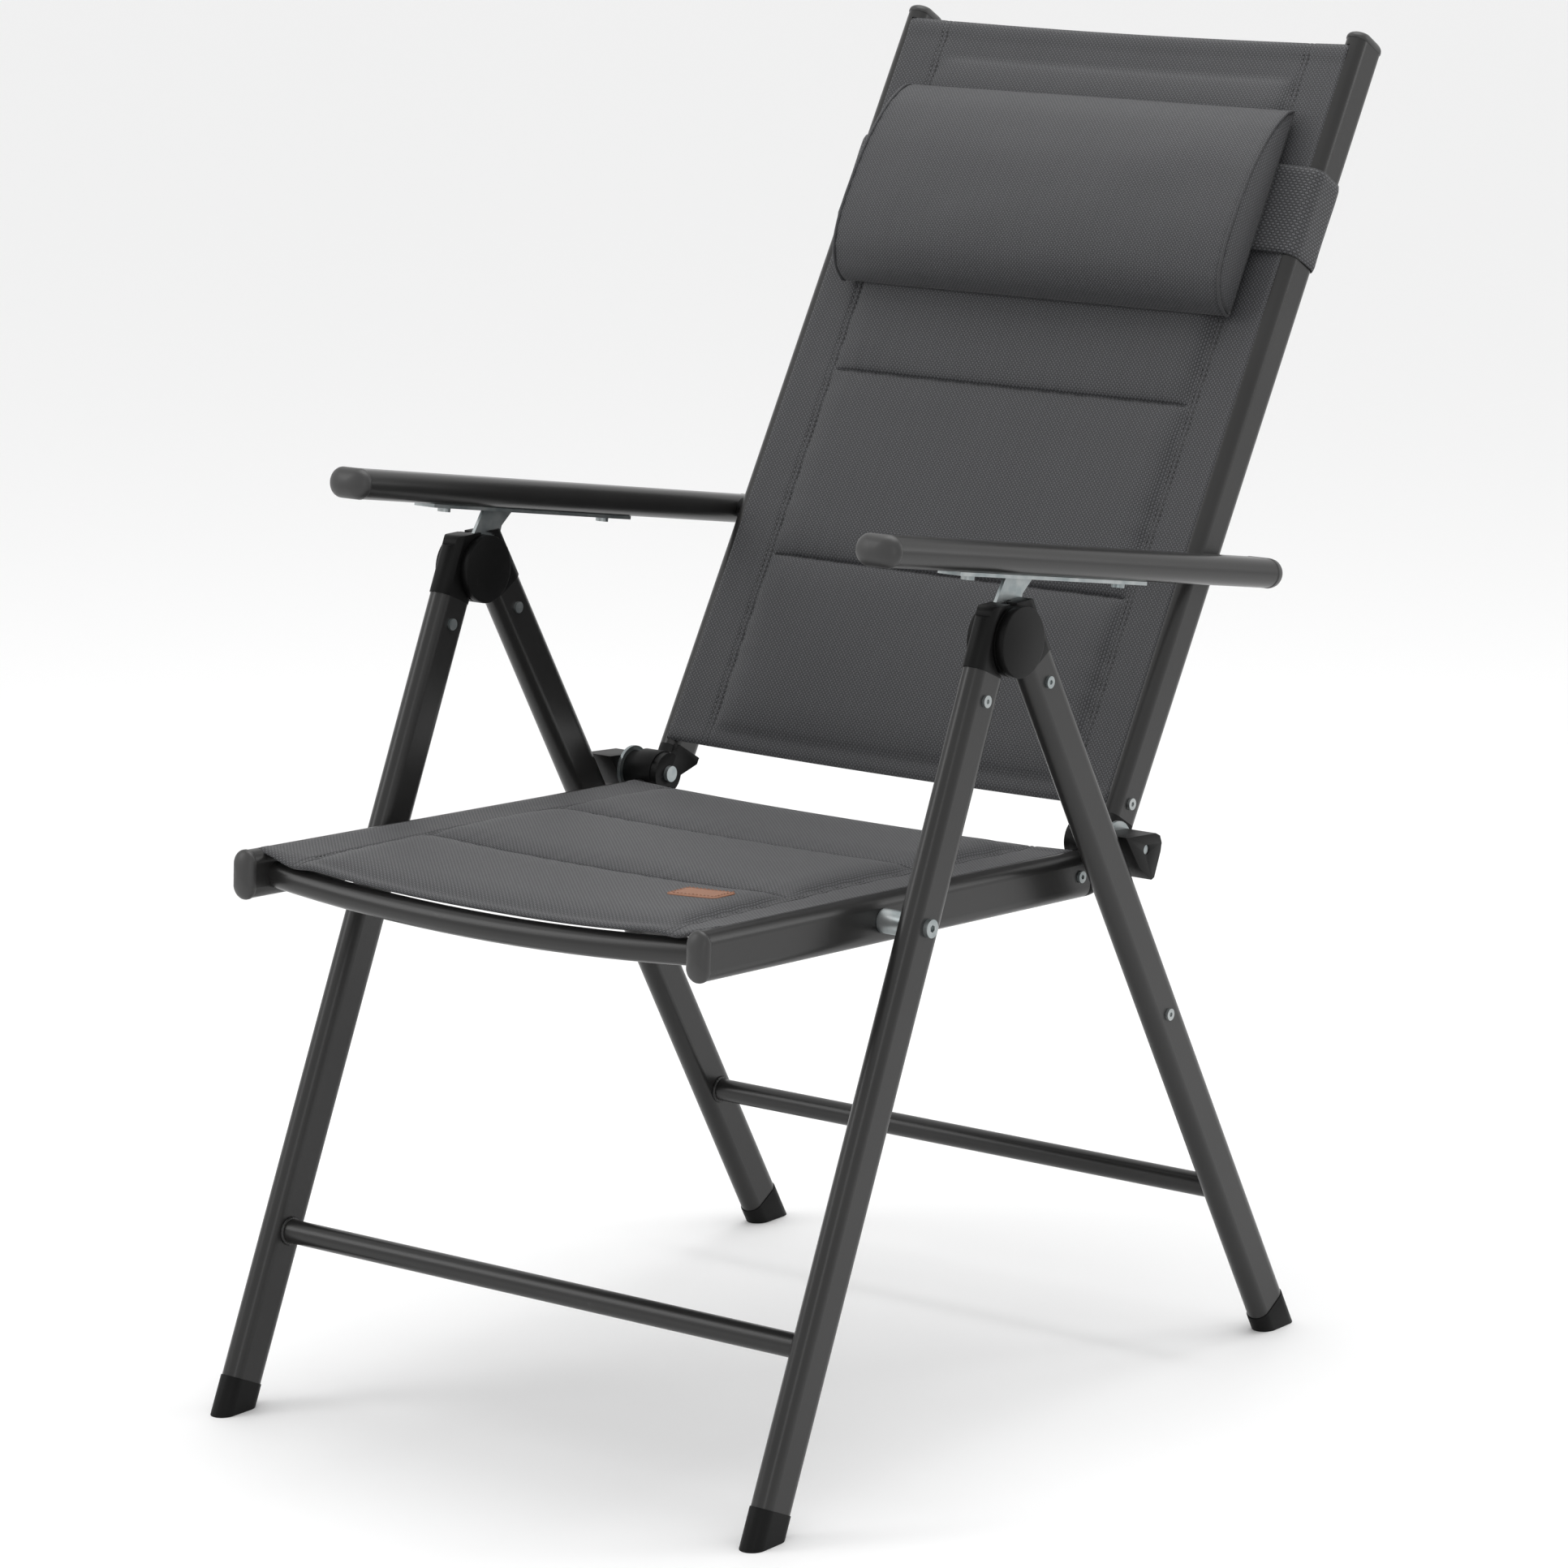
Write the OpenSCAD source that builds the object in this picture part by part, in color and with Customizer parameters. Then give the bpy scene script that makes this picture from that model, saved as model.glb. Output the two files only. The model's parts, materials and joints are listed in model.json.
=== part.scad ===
// Folding high-back camp chair: oval steel tubes, plastic heads and hinges, padded mesh seat
// and back, a strap-on head pillow. +Z up, the sitter faces -Y, the ground is z = 0.
// Side view points are [y, z] pairs. An angle "lean" turns a piece's own +Z towards +Y.

/* [Overall] */
// Height of the pivot where front and rear legs meet
head_height = 665.6; // [600:0.1:760]
// Distance between the middle planes of the two seat tubes
seat_spacing = 466; // [380:1:560]
// Height of the pivot between seat tube and front leg
seat_pivot_height = 454; // [420:1:500]

/* [Tubes] */
// Long side of the oval frame tubes
tube_w = 40; // [36:0.5:48]
// Short side of the oval frame tubes
tube_t = 20; // [18:0.5:24]
// Wall of all tubes
wall = 1.5; // [1:0.1:2]
// Width of the arm tubes
arm_w = 42; // [38:0.5:50]
// Height of the arm tubes
arm_h = 25; // [22:0.5:30]
// Diameter of the round bars of seat and back
bar_d = 22; // [16:0.5:25]
// Diameter of the stretchers between the legs
stretcher_d = 20; // [16:0.5:25]
// Free length between seat tube and leg, filled by a spacer
spacer_len = 24; // [22:0.5:30]

/* [Legs] */
// Lean of the front legs, top to the rear
front_lean = 24; // [20:0.5:28]
// Lean of the rear legs, top to the front
rear_lean = 30; // [28:0.5:34]
// Gap between a leg's inner edge and the axis of the head pivot
fold_gap = 0.1; // [0.1:0.1:4]
// Height of the front stretcher
front_bar_height = 142; // [100:1:220]
// Height of the rear stretcher
rear_bar_height = 141; // [100:1:220]
// Height of the plastic feet, along the leg
foot_h = 27; // [20:1:45]
// How far the feet stand proud of the tube
foot_proud = 0.8; // [0.4:0.1:2]
// Height of the bolt through the rear leg
rear_bolt_height = 316; // [250:1:400]

/* [Heads] */
// Radius of the round joint in a head
head_r = 29; // [26:0.5:32]
// Thickness of the covers on both sides of a head
cover_t = 8; // [3:0.5:12]
// Thickness of the steel tongue
tongue_t = 3; // [2:0.5:4]

/* [Seat] */
// Drop of the seat tubes towards the rear
seat_drop = 3; // [0:0.5:6]
// Seat tube in front of the seat pivot
seat_front = 221; // [180:1:260]
// Back hinge behind the rear leg's rear face, measured level
hinge_reach = 25.5; // [24:0.5:32]
// Back hinge behind the seat tube's end
hinge_tail = 16; // [15:0.5:22]
// Back hinge above the seat tube's upper face
hinge_rise = 5; // [3:0.5:8]
// Bow of the front seat bar
seat_bar_bow = 13; // [5:1:25]

/* [Back] */
// Lean of the back
back_lean = 30.7; // [24:0.1:34]
// Back tube's front face behind the back hinge
back_set = 2; // [1:0.5:6]
// End of the back tube above the hinge
back_end = 745; // [690:1:800]
// Cross bar above the middle between arm pivot and pillow strap
back_bar_lift = 1.35; // [-40:0.05:40]
// Bow of the back cross bar
back_bar_bow = 24; // [5:1:40]

/* [Arms] */
// Arm's middle line above the head pivot
arm_rise = 66; // [60:1:80]
// Slope of the arms, front end higher
arm_slope = 9.7; // [8:0.1:11]
// Arm in front of the head pivot, along the arm
arm_ahead = 161.5; // [120:0.5:200]
// Arm behind its pivot
arm_rear = 36; // [30:1:60]
// Distance between two notches of the rack
notch_pitch = 17; // [14:0.5:20]

/* [Fabric] */
// Thickness of the mesh fabric, both layers of the welted edge
fabric_t = 3; // [2:0.5:4]
// Thickness of the padding on the fabric
pad_t = 6; // [4:0.5:10]
// Unpadded margin beside the tubes' middle lines
pad_margin = 48; // [40:1:70]
// Ends of the pillow inside the tubes' middle planes
pillow_inset = 28; // [22:1:60]
// Lower edge of the pillow above the back hinge
pillow_low = 473; // [440:1:520]
// Height of the pillow along the back
pillow_h = 197; // [160:1:200]
// How far the pillow stands out from the padding
pillow_out = 44; // [30:1:50]
// Width of the pillow strap
strap_w = 80; // [40:1:90]

/* [Fits] */
// Radial play of a bolt in a part that turns on it
running = 0.05; // [0.02:0.01:0.1]
// Play of a plug in a tube, each side
plug_gap = 0.2; // [0.1:0.05:0.4]
// Gap between parts that move past each other
move_gap = 0.3; // [0.3:0.05:0.6]

/* [Hidden] */
$fn = 64;
// Middle planes of seat, leg and arm tubes
seat_x = seat_spacing / 2;
leg_x = seat_x + tube_t + spacer_len;
// The arms sit a little inside the legs, so that their tongues stand in the front halves of the heads
arm_inset = 6;
arm_x = leg_x - arm_inset;
arm_washer = arm_x - arm_w / 2 - seat_x - tube_t / 2;
tube_in_w = tube_w - 2 * wall;
tube_in_t = tube_t - 2 * wall;
// Leans of every straight piece
rear_phi = -rear_lean;
seat_phi = seat_drop - 90;
arm_phi = arm_slope - 90;
// Side view geometry, measured from the head pivot, then moved so that y = 0 is the middle
function dir(phi) = [sin(phi), cos(phi)];
function nrm(phi) = [cos(phi), -sin(phi)];
function pt(p, phi, along, off = 0) = p + along * dir(phi) + off * nrm(phi);
cap_proud = 0.5;
cap_dome = 9;
cap_rim = 1.6;
// Middle lines of the legs beside the head pivot, measured level
front_offset = (tube_w / 2 + fold_gap) / cos(front_lean);
rear_offset = (tube_w / 2 + fold_gap) / cos(rear_lean);
front_level = -front_offset - (head_height - seat_pivot_height) * tan(front_lean);
// The seat reaches back until its hinge stands behind the rear legs
hinge_up = tube_w / 2 + hinge_rise;
back_offset = tube_w / 2 + back_set;
rear_face = rear_offset + tube_w / 2 / cos(rear_lean)
  + (head_height - seat_pivot_height - hinge_up * cos(seat_drop)) * tan(rear_lean);
hinge_back = (rear_face + hinge_reach - front_level - hinge_up * sin(seat_drop))
  / (cos(seat_drop) - sin(seat_drop) * tan(rear_lean));
seat_rear = hinge_back - hinge_tail;
seat_tip_y = front_level - (seat_front + cap_dome) * cos(seat_drop);
hinge_y = front_level + hinge_back * cos(seat_drop) + hinge_up * sin(seat_drop);
back_tip_y = hinge_y + back_end * sin(back_lean)
  + (back_offset + tube_w / 2 + cap_proud) * cos(back_lean);
mid_y = (seat_tip_y + back_tip_y) / 2;
head_p = [-mid_y, head_height];
front_p = head_p + [-front_offset, 0];
rear_p = head_p + [rear_offset, 0];
seat_p = [front_level - mid_y, seat_pivot_height];
hinge_p = pt(seat_p, seat_phi, -hinge_back, hinge_up);
back_p = pt(hinge_p, back_lean, 0, back_offset);
// The arm pivot lies where a sloping arm passes the heads at its height
arm_up = (head_height + arm_rise - back_p[1] - (back_p[0] - head_p[0]) * tan(arm_slope))
  / (cos(back_lean) + sin(back_lean) * tan(arm_slope));
arm_p = pt(back_p, back_lean, arm_up);
head_along = (arm_p[0] - head_p[0]) / cos(arm_slope);
arm_front = head_along + arm_ahead;
front_len = head_height / cos(front_lean);
rear_len = head_height / cos(rear_lean);
// Tube ends above the ground, inside the feet
foot_floor = 12;
// Bolts, rivets and their heads
pivot_r = 4;
rivet_r = 2.5;
rivet_head_r = 5;
rivet_head_t = 2.2;
bolt_head_r = 7.5;
bolt_head_t = 4;
nut_r = 7.5;
nut_t = 6;
nut_gap = 0.5;
small_nut_t = 4;
// Flat heads of the hinge and arm bolts, inside the tubes
inner_head_r = 7;
inner_head_t = 4;
hinge_head_gap = 0.3;
bolt_stub = 1;
// How deep bolts and pins end in covers and blocks
pin_end = 4;
arm_bolt_end = 6;
arm_washer_r = 11;
spacer_r = 10;
// Rivets of the heads, along the legs from the pivot's level
rivet_down = 46;
spigot_len = 36;
// Ring around the head pivot that is kept free for the other half
lap_r = head_r + 3;
lap_gap = 0.9;
// Tube ends below the head pivot's level, along the legs
head_skirt = lap_r + lap_gap - front_offset * sin(front_lean);
// Flat top of a head above its pivot, and how far a head stands proud of the tube
head_top = head_r + 2;
head_bulge = 0.75;
// Hinge stack beside the seat tube
ear_r = tube_w / 2 - 1;
ear_gap = 0.5;
back_start = ear_r + 9;
boss_r = 16;
boss_t = 12;
washer_r = 20;
washer_t = 3;
boss_x = seat_x + tube_t / 2;
washer_x = boss_x + boss_t;
hook_x0 = washer_x + washer_t;
hook_x1 = leg_x + tube_t / 2;
hook_gap = 0.6;
eye_t = 6.5;
eye_x = seat_x - tube_t / 2 - eye_t;
eye_r = 18;
seat_bolt_s = -seat_rear + 14;
back_bolt_a = back_start + 15;
seat_plug_tail = 22;
seat_plug_len = 30;
back_plug_len = 34;
// Plugs are this much slimmer than the tube where a welt runs beside them
welt_room = 12;
cap_plug_len = 11;
arm_plug_len = 20;
block_front = 24;
block_inset = 2;
// Fabric lies flush with the tubes, its welts sit inside them
sling_top = tube_w / 2;
sling_low = sling_top - fabric_t;
sling_x = seat_x - 0.5;
slot_w = tube_t / 2 + 2;
welt_r = 2.4;
welt_x = seat_x - 4;
welt_off = sling_low - welt_r - 0.2;
sling_front = seat_front - 12;
sling_rear = -seat_rear + 8;
back_hem = back_start + 4;
back_top = back_end - 7;
pad_x = seat_x - pad_margin;
pad_end = 24;
patch_w = 50;
patch_h = 30;
patch_t = 1.2;
patch_x = pad_x - patch_w - 20;
patch_s = 88;
pillow_half = seat_x - pillow_inset;
strap_t = 1.5;
strap_gap = 0.5;
// Front seat bar behind the tube ends and under the tubes' middle line
seat_bar_inset = 26;
seat_bar_drop = 2;
// Back cross bar behind the tubes' middle line, and thinner than the seat bar
back_bar_behind = 4;
back_bar_d = bar_d - 4;
strap_mid = pillow_low + pillow_h * 0.54;
back_bar_up = (arm_up + strap_mid - strap_w / 2) / 2 + back_bar_lift;
// Rack under the arms, measured from the arm pivot
rack_t = 3;
rack_w = 22;
notch_count = 7;
notch_r = 4.5;
// Notch that the tongue stands in, counted from 0 at the rear, and its place behind the head pivot
notch_used = 4;
tongue_behind = 28.4;
notch_first = head_along - tongue_behind - notch_used * notch_pitch;
rack_from = notch_first - 101;
rack_to = notch_first + 164;
rack_slot_len = (notch_count - 1) * notch_pitch + 44;
rack_slot_mid = notch_first + (notch_count - 1) * notch_pitch / 2;
screw_inset = 26;
screw_r = 2;
screw_len = 7;
screw_head_r = 5.5;
screw_head_t = 3.5;
slot_clear = 1.2;
tongue_tip = -arm_h / 2 + 3;
tongue_w = 33;
tongue_root_w = 37;
tongue_y = -9.8;
tongue_low = 12;
tongue_slot_low = 13.5;
tongue_gap = 0.4;

// Places its children in the side view: origin at p, +Z leaning by phi
module side(p, phi = 0) { translate([0, p[0], p[1]]) rotate([-phi, 0, 0]) children(); }
// Mirrors to the right-hand side
module right() { mirror([1, 0, 0]) children(); }
module both() {
  children();
  right() children();
}
// Flat-sided oval outline, wy along Y and tx along X
module oval(tx, wy) {
  r = min(tx, wy) / 2;
  dx = tx / 2 - r;
  dy = wy / 2 - r;
  for (s = [-1, 1]) translate([s * dx, s * dy]) circle(r = r);
  square([tx > wy ? 2 * dx : tx, tx > wy ? wy : 2 * dy], center = true);
}
module bar(tx, wy, from, to) { translate([0, 0, from]) linear_extrude(to - from) oval(tx, wy); }
module tube(tx, wy, from, to) {
  difference() {
    bar(tx, wy, from, to);
    bar(tx - 2 * wall, wy - 2 * wall, from - 1, to + 1);
  }
}
// Cylinder along X
module xcyl(x0, x1, r) { translate([x0, 0, 0]) rotate([0, 90, 0]) cylinder(r = r, h = x1 - x0); }
// Extrudes a side view outline along X, outline's x is +Y and its y is +Z
module xplate(x0, x1) {
  translate([x0, 0, 0]) rotate([90, 0, 90]) linear_extrude(x1 - x0) children();
}
// Hexagon head, nut or socket
module hex_head(x0, x1, r) {
  translate([x0, 0, 0]) rotate([0, 90, 0]) cylinder(r = r, h = x1 - x0, $fn = 6);
}
// Round head with a hexagon socket, opening to +X
module socket_head(x0, t, r) {
  difference() {
    xcyl(x0, x0 + t, r);
    hex_head(x0 + t * 0.4, x0 + t + 1, r * 0.42);
  }
}
// Domed plug on a tube end, standing on z = 0, with a straight rim
module dome_cap(tx, wy, dome) {
  rise = dome - cap_rim;
  ry = (wy * wy / 4 + rise * rise) / (2 * rise);
  intersection() {
    bar(tx, wy, 0, dome + 1);
    translate([0, 0, dome - ry]) xcyl(-tx, tx, ry);
    translate([0, 0, dome - tx]) rotate([90, 0, 0]) cylinder(r = tx, h = 2 * wy, center = true);
  }
}
// Bowed round bar between x = -half and half, its bow towards +Z
module bowed_bar(half, bow, d) {
  radius = (half * half + bow * bow) / (2 * bow);
  spread = 2 * asin(half / radius) + 2;
  intersection() {
    translate([0, 0, bow - radius]) rotate([90, 0, 0]) rotate([0, 0, 90 - spread / 2])
      rotate_extrude(angle = spread, $fn = 720) translate([radius, 0]) circle(r = d / 2, $fn = 48);
    cube([2 * half, 4 * d, 8 * bow + 4 * d], center = true);
  }
}

// ---- legs ----
module leg_hole_front() { side(seat_p, front_lean) xcyl(0, leg_x + tube_t, pivot_r + plug_gap); }
module front_leg() {
  color("dimgray") difference() {
    side(front_p, front_lean) translate([leg_x, 0, 0])
      tube(tube_t, tube_w, foot_floor - front_len, -head_skirt);
    leg_hole_front();
    side(front_p, front_lean) translate([0, 0, -rivet_down])
      xcyl(leg_x - tube_t, leg_x + tube_t, rivet_r);
  }
}
module rear_leg() {
  color("dimgray") difference() {
    side(rear_p, rear_phi) translate([leg_x, 0, 0])
      tube(tube_t, tube_w, foot_floor - rear_len, -head_skirt);
    side(rear_p, rear_phi) translate([0, 0, -rivet_down])
      xcyl(leg_x - tube_t, leg_x + tube_t, rivet_r);
    rear_bolt_place() xcyl(leg_x - tube_t, leg_x + tube_t, rivet_r + plug_gap);
  }
}
module rear_bolt_place() {
  side(pt(rear_p, rear_phi, (rear_bolt_height - head_height) / cos(rear_lean)), rear_phi)
    children();
}
module foot(p, phi, len) {
  color("#202022") difference() {
    intersection() {
      side(p, phi) translate([leg_x, 0, 0])
        bar(tube_t + 2 * foot_proud, tube_w + 2 * foot_proud, -len - tube_w, foot_h - len);
      translate([0, -2 * head_height, 0]) cube([2 * leg_x, 4 * head_height, head_height]);
    }
    side(p, phi) translate([leg_x, 0, 0]) bar(tube_t, tube_w, foot_floor - len, 0);
  }
}
module stretcher(p, phi, height, lean) {
  color("dimgray") side(pt(p, phi, (height - head_height) / cos(lean)), phi)
    difference() {
      xcyl(tube_t / 2 - leg_x, leg_x - tube_t / 2, stretcher_d / 2);
      xcyl(-leg_x, leg_x, stretcher_d / 2 - wall);
    }
}

// ---- heads ----
// Half of a head: phi leans the leg, out is +1 where the leg stands behind the pivot
module head(p, phi, out) {
  eye0 = out < 0 ? -tube_t / 2 : move_gap / 2;
  eye1 = out < 0 ? -move_gap / 2 : tube_t / 2;
  translate([leg_x, 0, 0]) {
    difference() {
      union() {
        difference() {
          intersection() {
            side(p, phi) translate([0, out * head_bulge, 0])
              bar(tube_t, tube_w + 2 * head_bulge, -head_skirt, 2 * tube_w);
            side(head_p) xplate(-tube_t, tube_t) head_outline(out);
          }
          side(head_p) xcyl(-tube_t, tube_t, lap_r);
        }
        intersection() {
          side(p, phi) bar(tube_t, tube_w + 2 * head_bulge, -head_skirt, 2 * tube_w);
          side(head_p) xplate(eye0, eye1) head_outline(out);
        }
        side(p, phi) bar(tube_in_t - 2 * plug_gap, tube_in_w - 2 * plug_gap,
          -head_skirt - spigot_len, -head_skirt);
        side(head_p) xcyl(eye0, eye1, head_r);
      }
      side(head_p) xcyl(-tube_t, tube_t, pivot_r + (out < 0 ? 0 : running));
      side(p, phi) translate([0, 0, -rivet_down]) xcyl(-tube_t, tube_t, rivet_r);
      // the far half and everything that sweeps past it stays free
      side(head_p) xcyl(out < 0 ? -move_gap / 2 : -tube_t, out < 0 ? tube_t : move_gap / 2, lap_r);
      if (out > 0) {
        side(head_p)
          translate([arm_x - leg_x - tongue_t / 2 - tongue_gap, -2 * tube_w, tongue_slot_low])
          cube([tongue_t + 2 * tongue_gap, 4 * tube_w, 2 * tube_w]);
      } else {
        side(head_p) translate([arm_x - leg_x, 0, 0]) tongue_plate();
      }
    }
  }
}
// Side view of a head, rounded at its flat top, on its own side of the seam
module head_outline(out) {
  far = 3 * tube_w;
  seam = 1;
  top_r = 7;
  corner = tube_w / 2 + 11;
  difference() {
    union() {
      translate([out > 0 ? seam : -far, -far]) square([far - seam, far + head_top - top_r]);
      translate([out > 0 ? seam : top_r - corner, 0]) square([corner - top_r - seam, head_top]);
      translate([out * (corner - top_r), head_top - top_r]) circle(r = top_r);
    }
    translate([out * corner, head_top - top_r]) scale([out, 1]) square([far, far]);
  }
}
module tongue_plate() {
  tip = pt(arm_p - head_p, arm_phi, notch_first + notch_used * notch_pitch, tongue_tip);
  front_top = tip + tongue_w / 2 * dir(arm_phi);
  rear_top = tip - tongue_w / 2 * dir(arm_phi);
  xplate(-tongue_t / 2, tongue_t / 2) polygon([
    [tongue_y, tongue_low], [tongue_y + tongue_root_w, tongue_low],
    [tongue_y + tongue_root_w, head_top - 4], [tongue_y + tongue_root_w + 2, head_top + 2],
    rear_top - [0, 6], rear_top, front_top, [tongue_y, head_top - 4]]);
}
module head_tongues() {
  color("#9aa3a6") both() side(head_p) translate([arm_x, 0, 0]) tongue_plate();
}
module head_cover(out) {
  x0 = out < 0 ? leg_x - tube_t / 2 - cover_t : leg_x + tube_t / 2;
  color("#242424") side(head_p) difference() {
    xcyl(x0, x0 + cover_t, head_r);
    xcyl(leg_x - tube_t / 2 - pin_end - running, leg_x + tube_t / 2 + pin_end + running,
      pivot_r + running);
  }
}
module head_pins() {
  color("silver") both() side(head_p)
    xcyl(leg_x - tube_t / 2 - pin_end, leg_x + tube_t / 2 + pin_end, pivot_r);
}
module leg_rivets(p, phi) {
  color("silver") both() side(p, phi) translate([0, 0, -rivet_down]) {
    xcyl(leg_x - tube_t / 2, leg_x + tube_t / 2, rivet_r);
    socket_head(leg_x + tube_t / 2, rivet_head_t, rivet_head_r);
    xcyl(leg_x - tube_t / 2 - rivet_head_t, leg_x - tube_t / 2, rivet_head_r);
  }
}
module rear_leg_bolts() {
  color("silver") both() rear_bolt_place() {
    xcyl(leg_x - tube_t / 2 - bolt_stub, leg_x + tube_t / 2, rivet_r);
    socket_head(leg_x + tube_t / 2, rivet_head_t, rivet_head_r);
    hex_head(leg_x - tube_t / 2 - small_nut_t, leg_x - tube_t / 2, rivet_head_r);
  }
}
module seat_pivot_bolts() {
  color("silver") both() side(seat_p) {
    xcyl(seat_x - tube_t / 2 - bolt_stub, leg_x + tube_t / 2, pivot_r);
    socket_head(leg_x + tube_t / 2, bolt_head_t, bolt_head_r);
    hex_head(seat_x - tube_t / 2 - nut_t - nut_gap, seat_x - tube_t / 2 - nut_gap, nut_r);
  }
}
module seat_spacers() {
  color("silver") both() side(seat_p) difference() {
    xcyl(seat_x + tube_t / 2 + move_gap, leg_x - tube_t / 2, spacer_r);
    xcyl(0, 2 * leg_x, pivot_r);
  }
}

// ---- seat ----
module seat_tube() {
  color("dimgray") side(seat_p, seat_phi) difference() {
    translate([seat_x, 0, 0]) tube(tube_t, tube_w, -seat_rear, seat_front);
    xcyl(seat_x - tube_t, seat_x + tube_t, pivot_r + running);
    translate([0, 0, seat_bolt_s]) xcyl(seat_x - tube_t, seat_x + tube_t, rivet_r);
    translate([sling_x - slot_w, sling_low, sling_rear])
      cube([slot_w, tube_w, sling_front - sling_rear]);
  }
}
module front_seat_bar() {
  color("dimgray") side(pt(seat_p, seat_phi, seat_front - seat_bar_inset, -seat_bar_drop))
    rotate([135, 0, 0]) bowed_bar(seat_x - tube_t / 2, seat_bar_bow, bar_d);
}
// Plug behind the seat tube with the ear and boss of the back hinge
module seat_plug() {
  color("#242424") difference() {
    union() {
      side(seat_p, seat_phi) translate([seat_x, 0, 0]) {
        intersection() {
          bar(tube_t, tube_w, -seat_rear - seat_plug_tail, -seat_rear);
          translate([0, hinge_up / 2, -seat_rear + 8]) xcyl(-tube_t, tube_t, seat_plug_tail + 12);
        }
        bar(tube_in_t - 2 * plug_gap, 2 * welt_off - 2 * welt_r - 1, -seat_rear,
          seat_plug_len - seat_rear);
      }
      difference() {
        side(hinge_p) xcyl(seat_x - tube_t / 2, boss_x, ear_r);
        side(seat_p, seat_phi) translate([seat_x, 0, 0]) bar(tube_t + 2, tube_w, -seat_rear, 0);
      }
      side(hinge_p) xcyl(boss_x, washer_x, boss_r);
    }
    side(hinge_p) xcyl(0, 2 * leg_x, pivot_r + running);
    side(seat_p, seat_phi) translate([0, 0, seat_bolt_s])
      xcyl(seat_x - tube_t, seat_x + tube_t, rivet_r);
  }
}
// Hook that bears on the sloping rear face of the rear leg
module hook() {
  color("#242424") difference() {
    side(hinge_p) xplate(hook_x0, hook_x1) polygon([
      [-30, 15], [14, 11.5], [20, 8.5], [22.6, 2], [21, -5], [12, -25.5], [8, -27], [-10, -14]]);
    side(rear_p, rear_phi) translate([0, tube_w / 2 + hook_gap - tube_w, -2 * head_height])
      cube([2 * leg_x, tube_w, 2 * head_height]);
    side(hinge_p) xcyl(0, 2 * leg_x, pivot_r + running);
  }
}
module hinge_washers() {
  color("silver") both() side(hinge_p) difference() {
    xcyl(washer_x, hook_x0, washer_r);
    xcyl(0, 2 * leg_x, pivot_r + running);
  }
}
module hinge_bolts() {
  color("silver") both() side(hinge_p) {
    xcyl(eye_x - bolt_stub, hook_x1 - 1, pivot_r);
    xcyl(eye_x - inner_head_t, eye_x - hinge_head_gap, inner_head_r);
  }
}
module end_caps(p, phi, at) {
  color("#3a3a3c") both() side(p, phi) translate([seat_x, 0, at]) {
    dome_cap(tube_t + 2 * cap_proud, tube_w + 2 * cap_proud, cap_dome);
    bar(tube_in_t - 2 * plug_gap, tube_in_w - 2 * plug_gap - welt_room, -cap_plug_len, 0);
  }
}
module seat_tube_bolts() {
  color("silver") both() side(seat_p, seat_phi) translate([0, 0, seat_bolt_s]) {
    xcyl(seat_x - tube_t / 2, boss_x, rivet_r);
    socket_head(boss_x, rivet_head_t, rivet_head_r);
  }
}
// Flat mesh panel between two tubes, its upper face level with the tubes
module sling(from, to, low) {
  translate([-sling_x, low, from]) cube([2 * sling_x, fabric_t, to - from]);
}
module seat_sling() { color("#46464c") side(seat_p, seat_phi) sling(sling_rear, sling_front, sling_low); }
module seat_padding() {
  color("#4a4a50") side(seat_p, seat_phi) translate([-pad_x, sling_top, sling_rear + pad_end])
    cube([2 * pad_x, pad_t, sling_front - sling_rear - 2 * pad_end]);
}
module welts(from, to, off) {
  color("#303034") both() translate([welt_x, off, from]) cylinder(r = welt_r, h = to - from);
}
module seat_welts() {
  side(seat_p, seat_phi) welts(sling_rear + 30, sling_front - 4, welt_off);
}
module seat_patch() {
  color("#9a5c34") side(seat_p, seat_phi) translate([patch_x, sling_top + pad_t, patch_s])
    cube([patch_w, patch_t, patch_h]);
}

// ---- back ----
module back_tube() {
  color("dimgray") side(back_p, back_lean) difference() {
    translate([seat_x, 0, 0]) tube(tube_t, tube_w, back_start, back_end);
    translate([0, 0, back_bolt_a]) xcyl(seat_x - tube_t, seat_x + tube_t, rivet_r);
    translate([0, 0, arm_up]) xcyl(seat_x - tube_t, seat_x + tube_t, pivot_r + running);
    translate([sling_x - slot_w, -sling_low - tube_w, back_hem])
      cube([slot_w, tube_w, back_top - back_hem]);
  }
}
module back_cross_bar() {
  color("dimgray") side(back_p, back_lean) translate([0, back_bar_behind, back_bar_up])
    rotate([-90, 0, 0]) bowed_bar(seat_x - tube_t / 2, back_bar_bow, back_bar_d);
}
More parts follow.
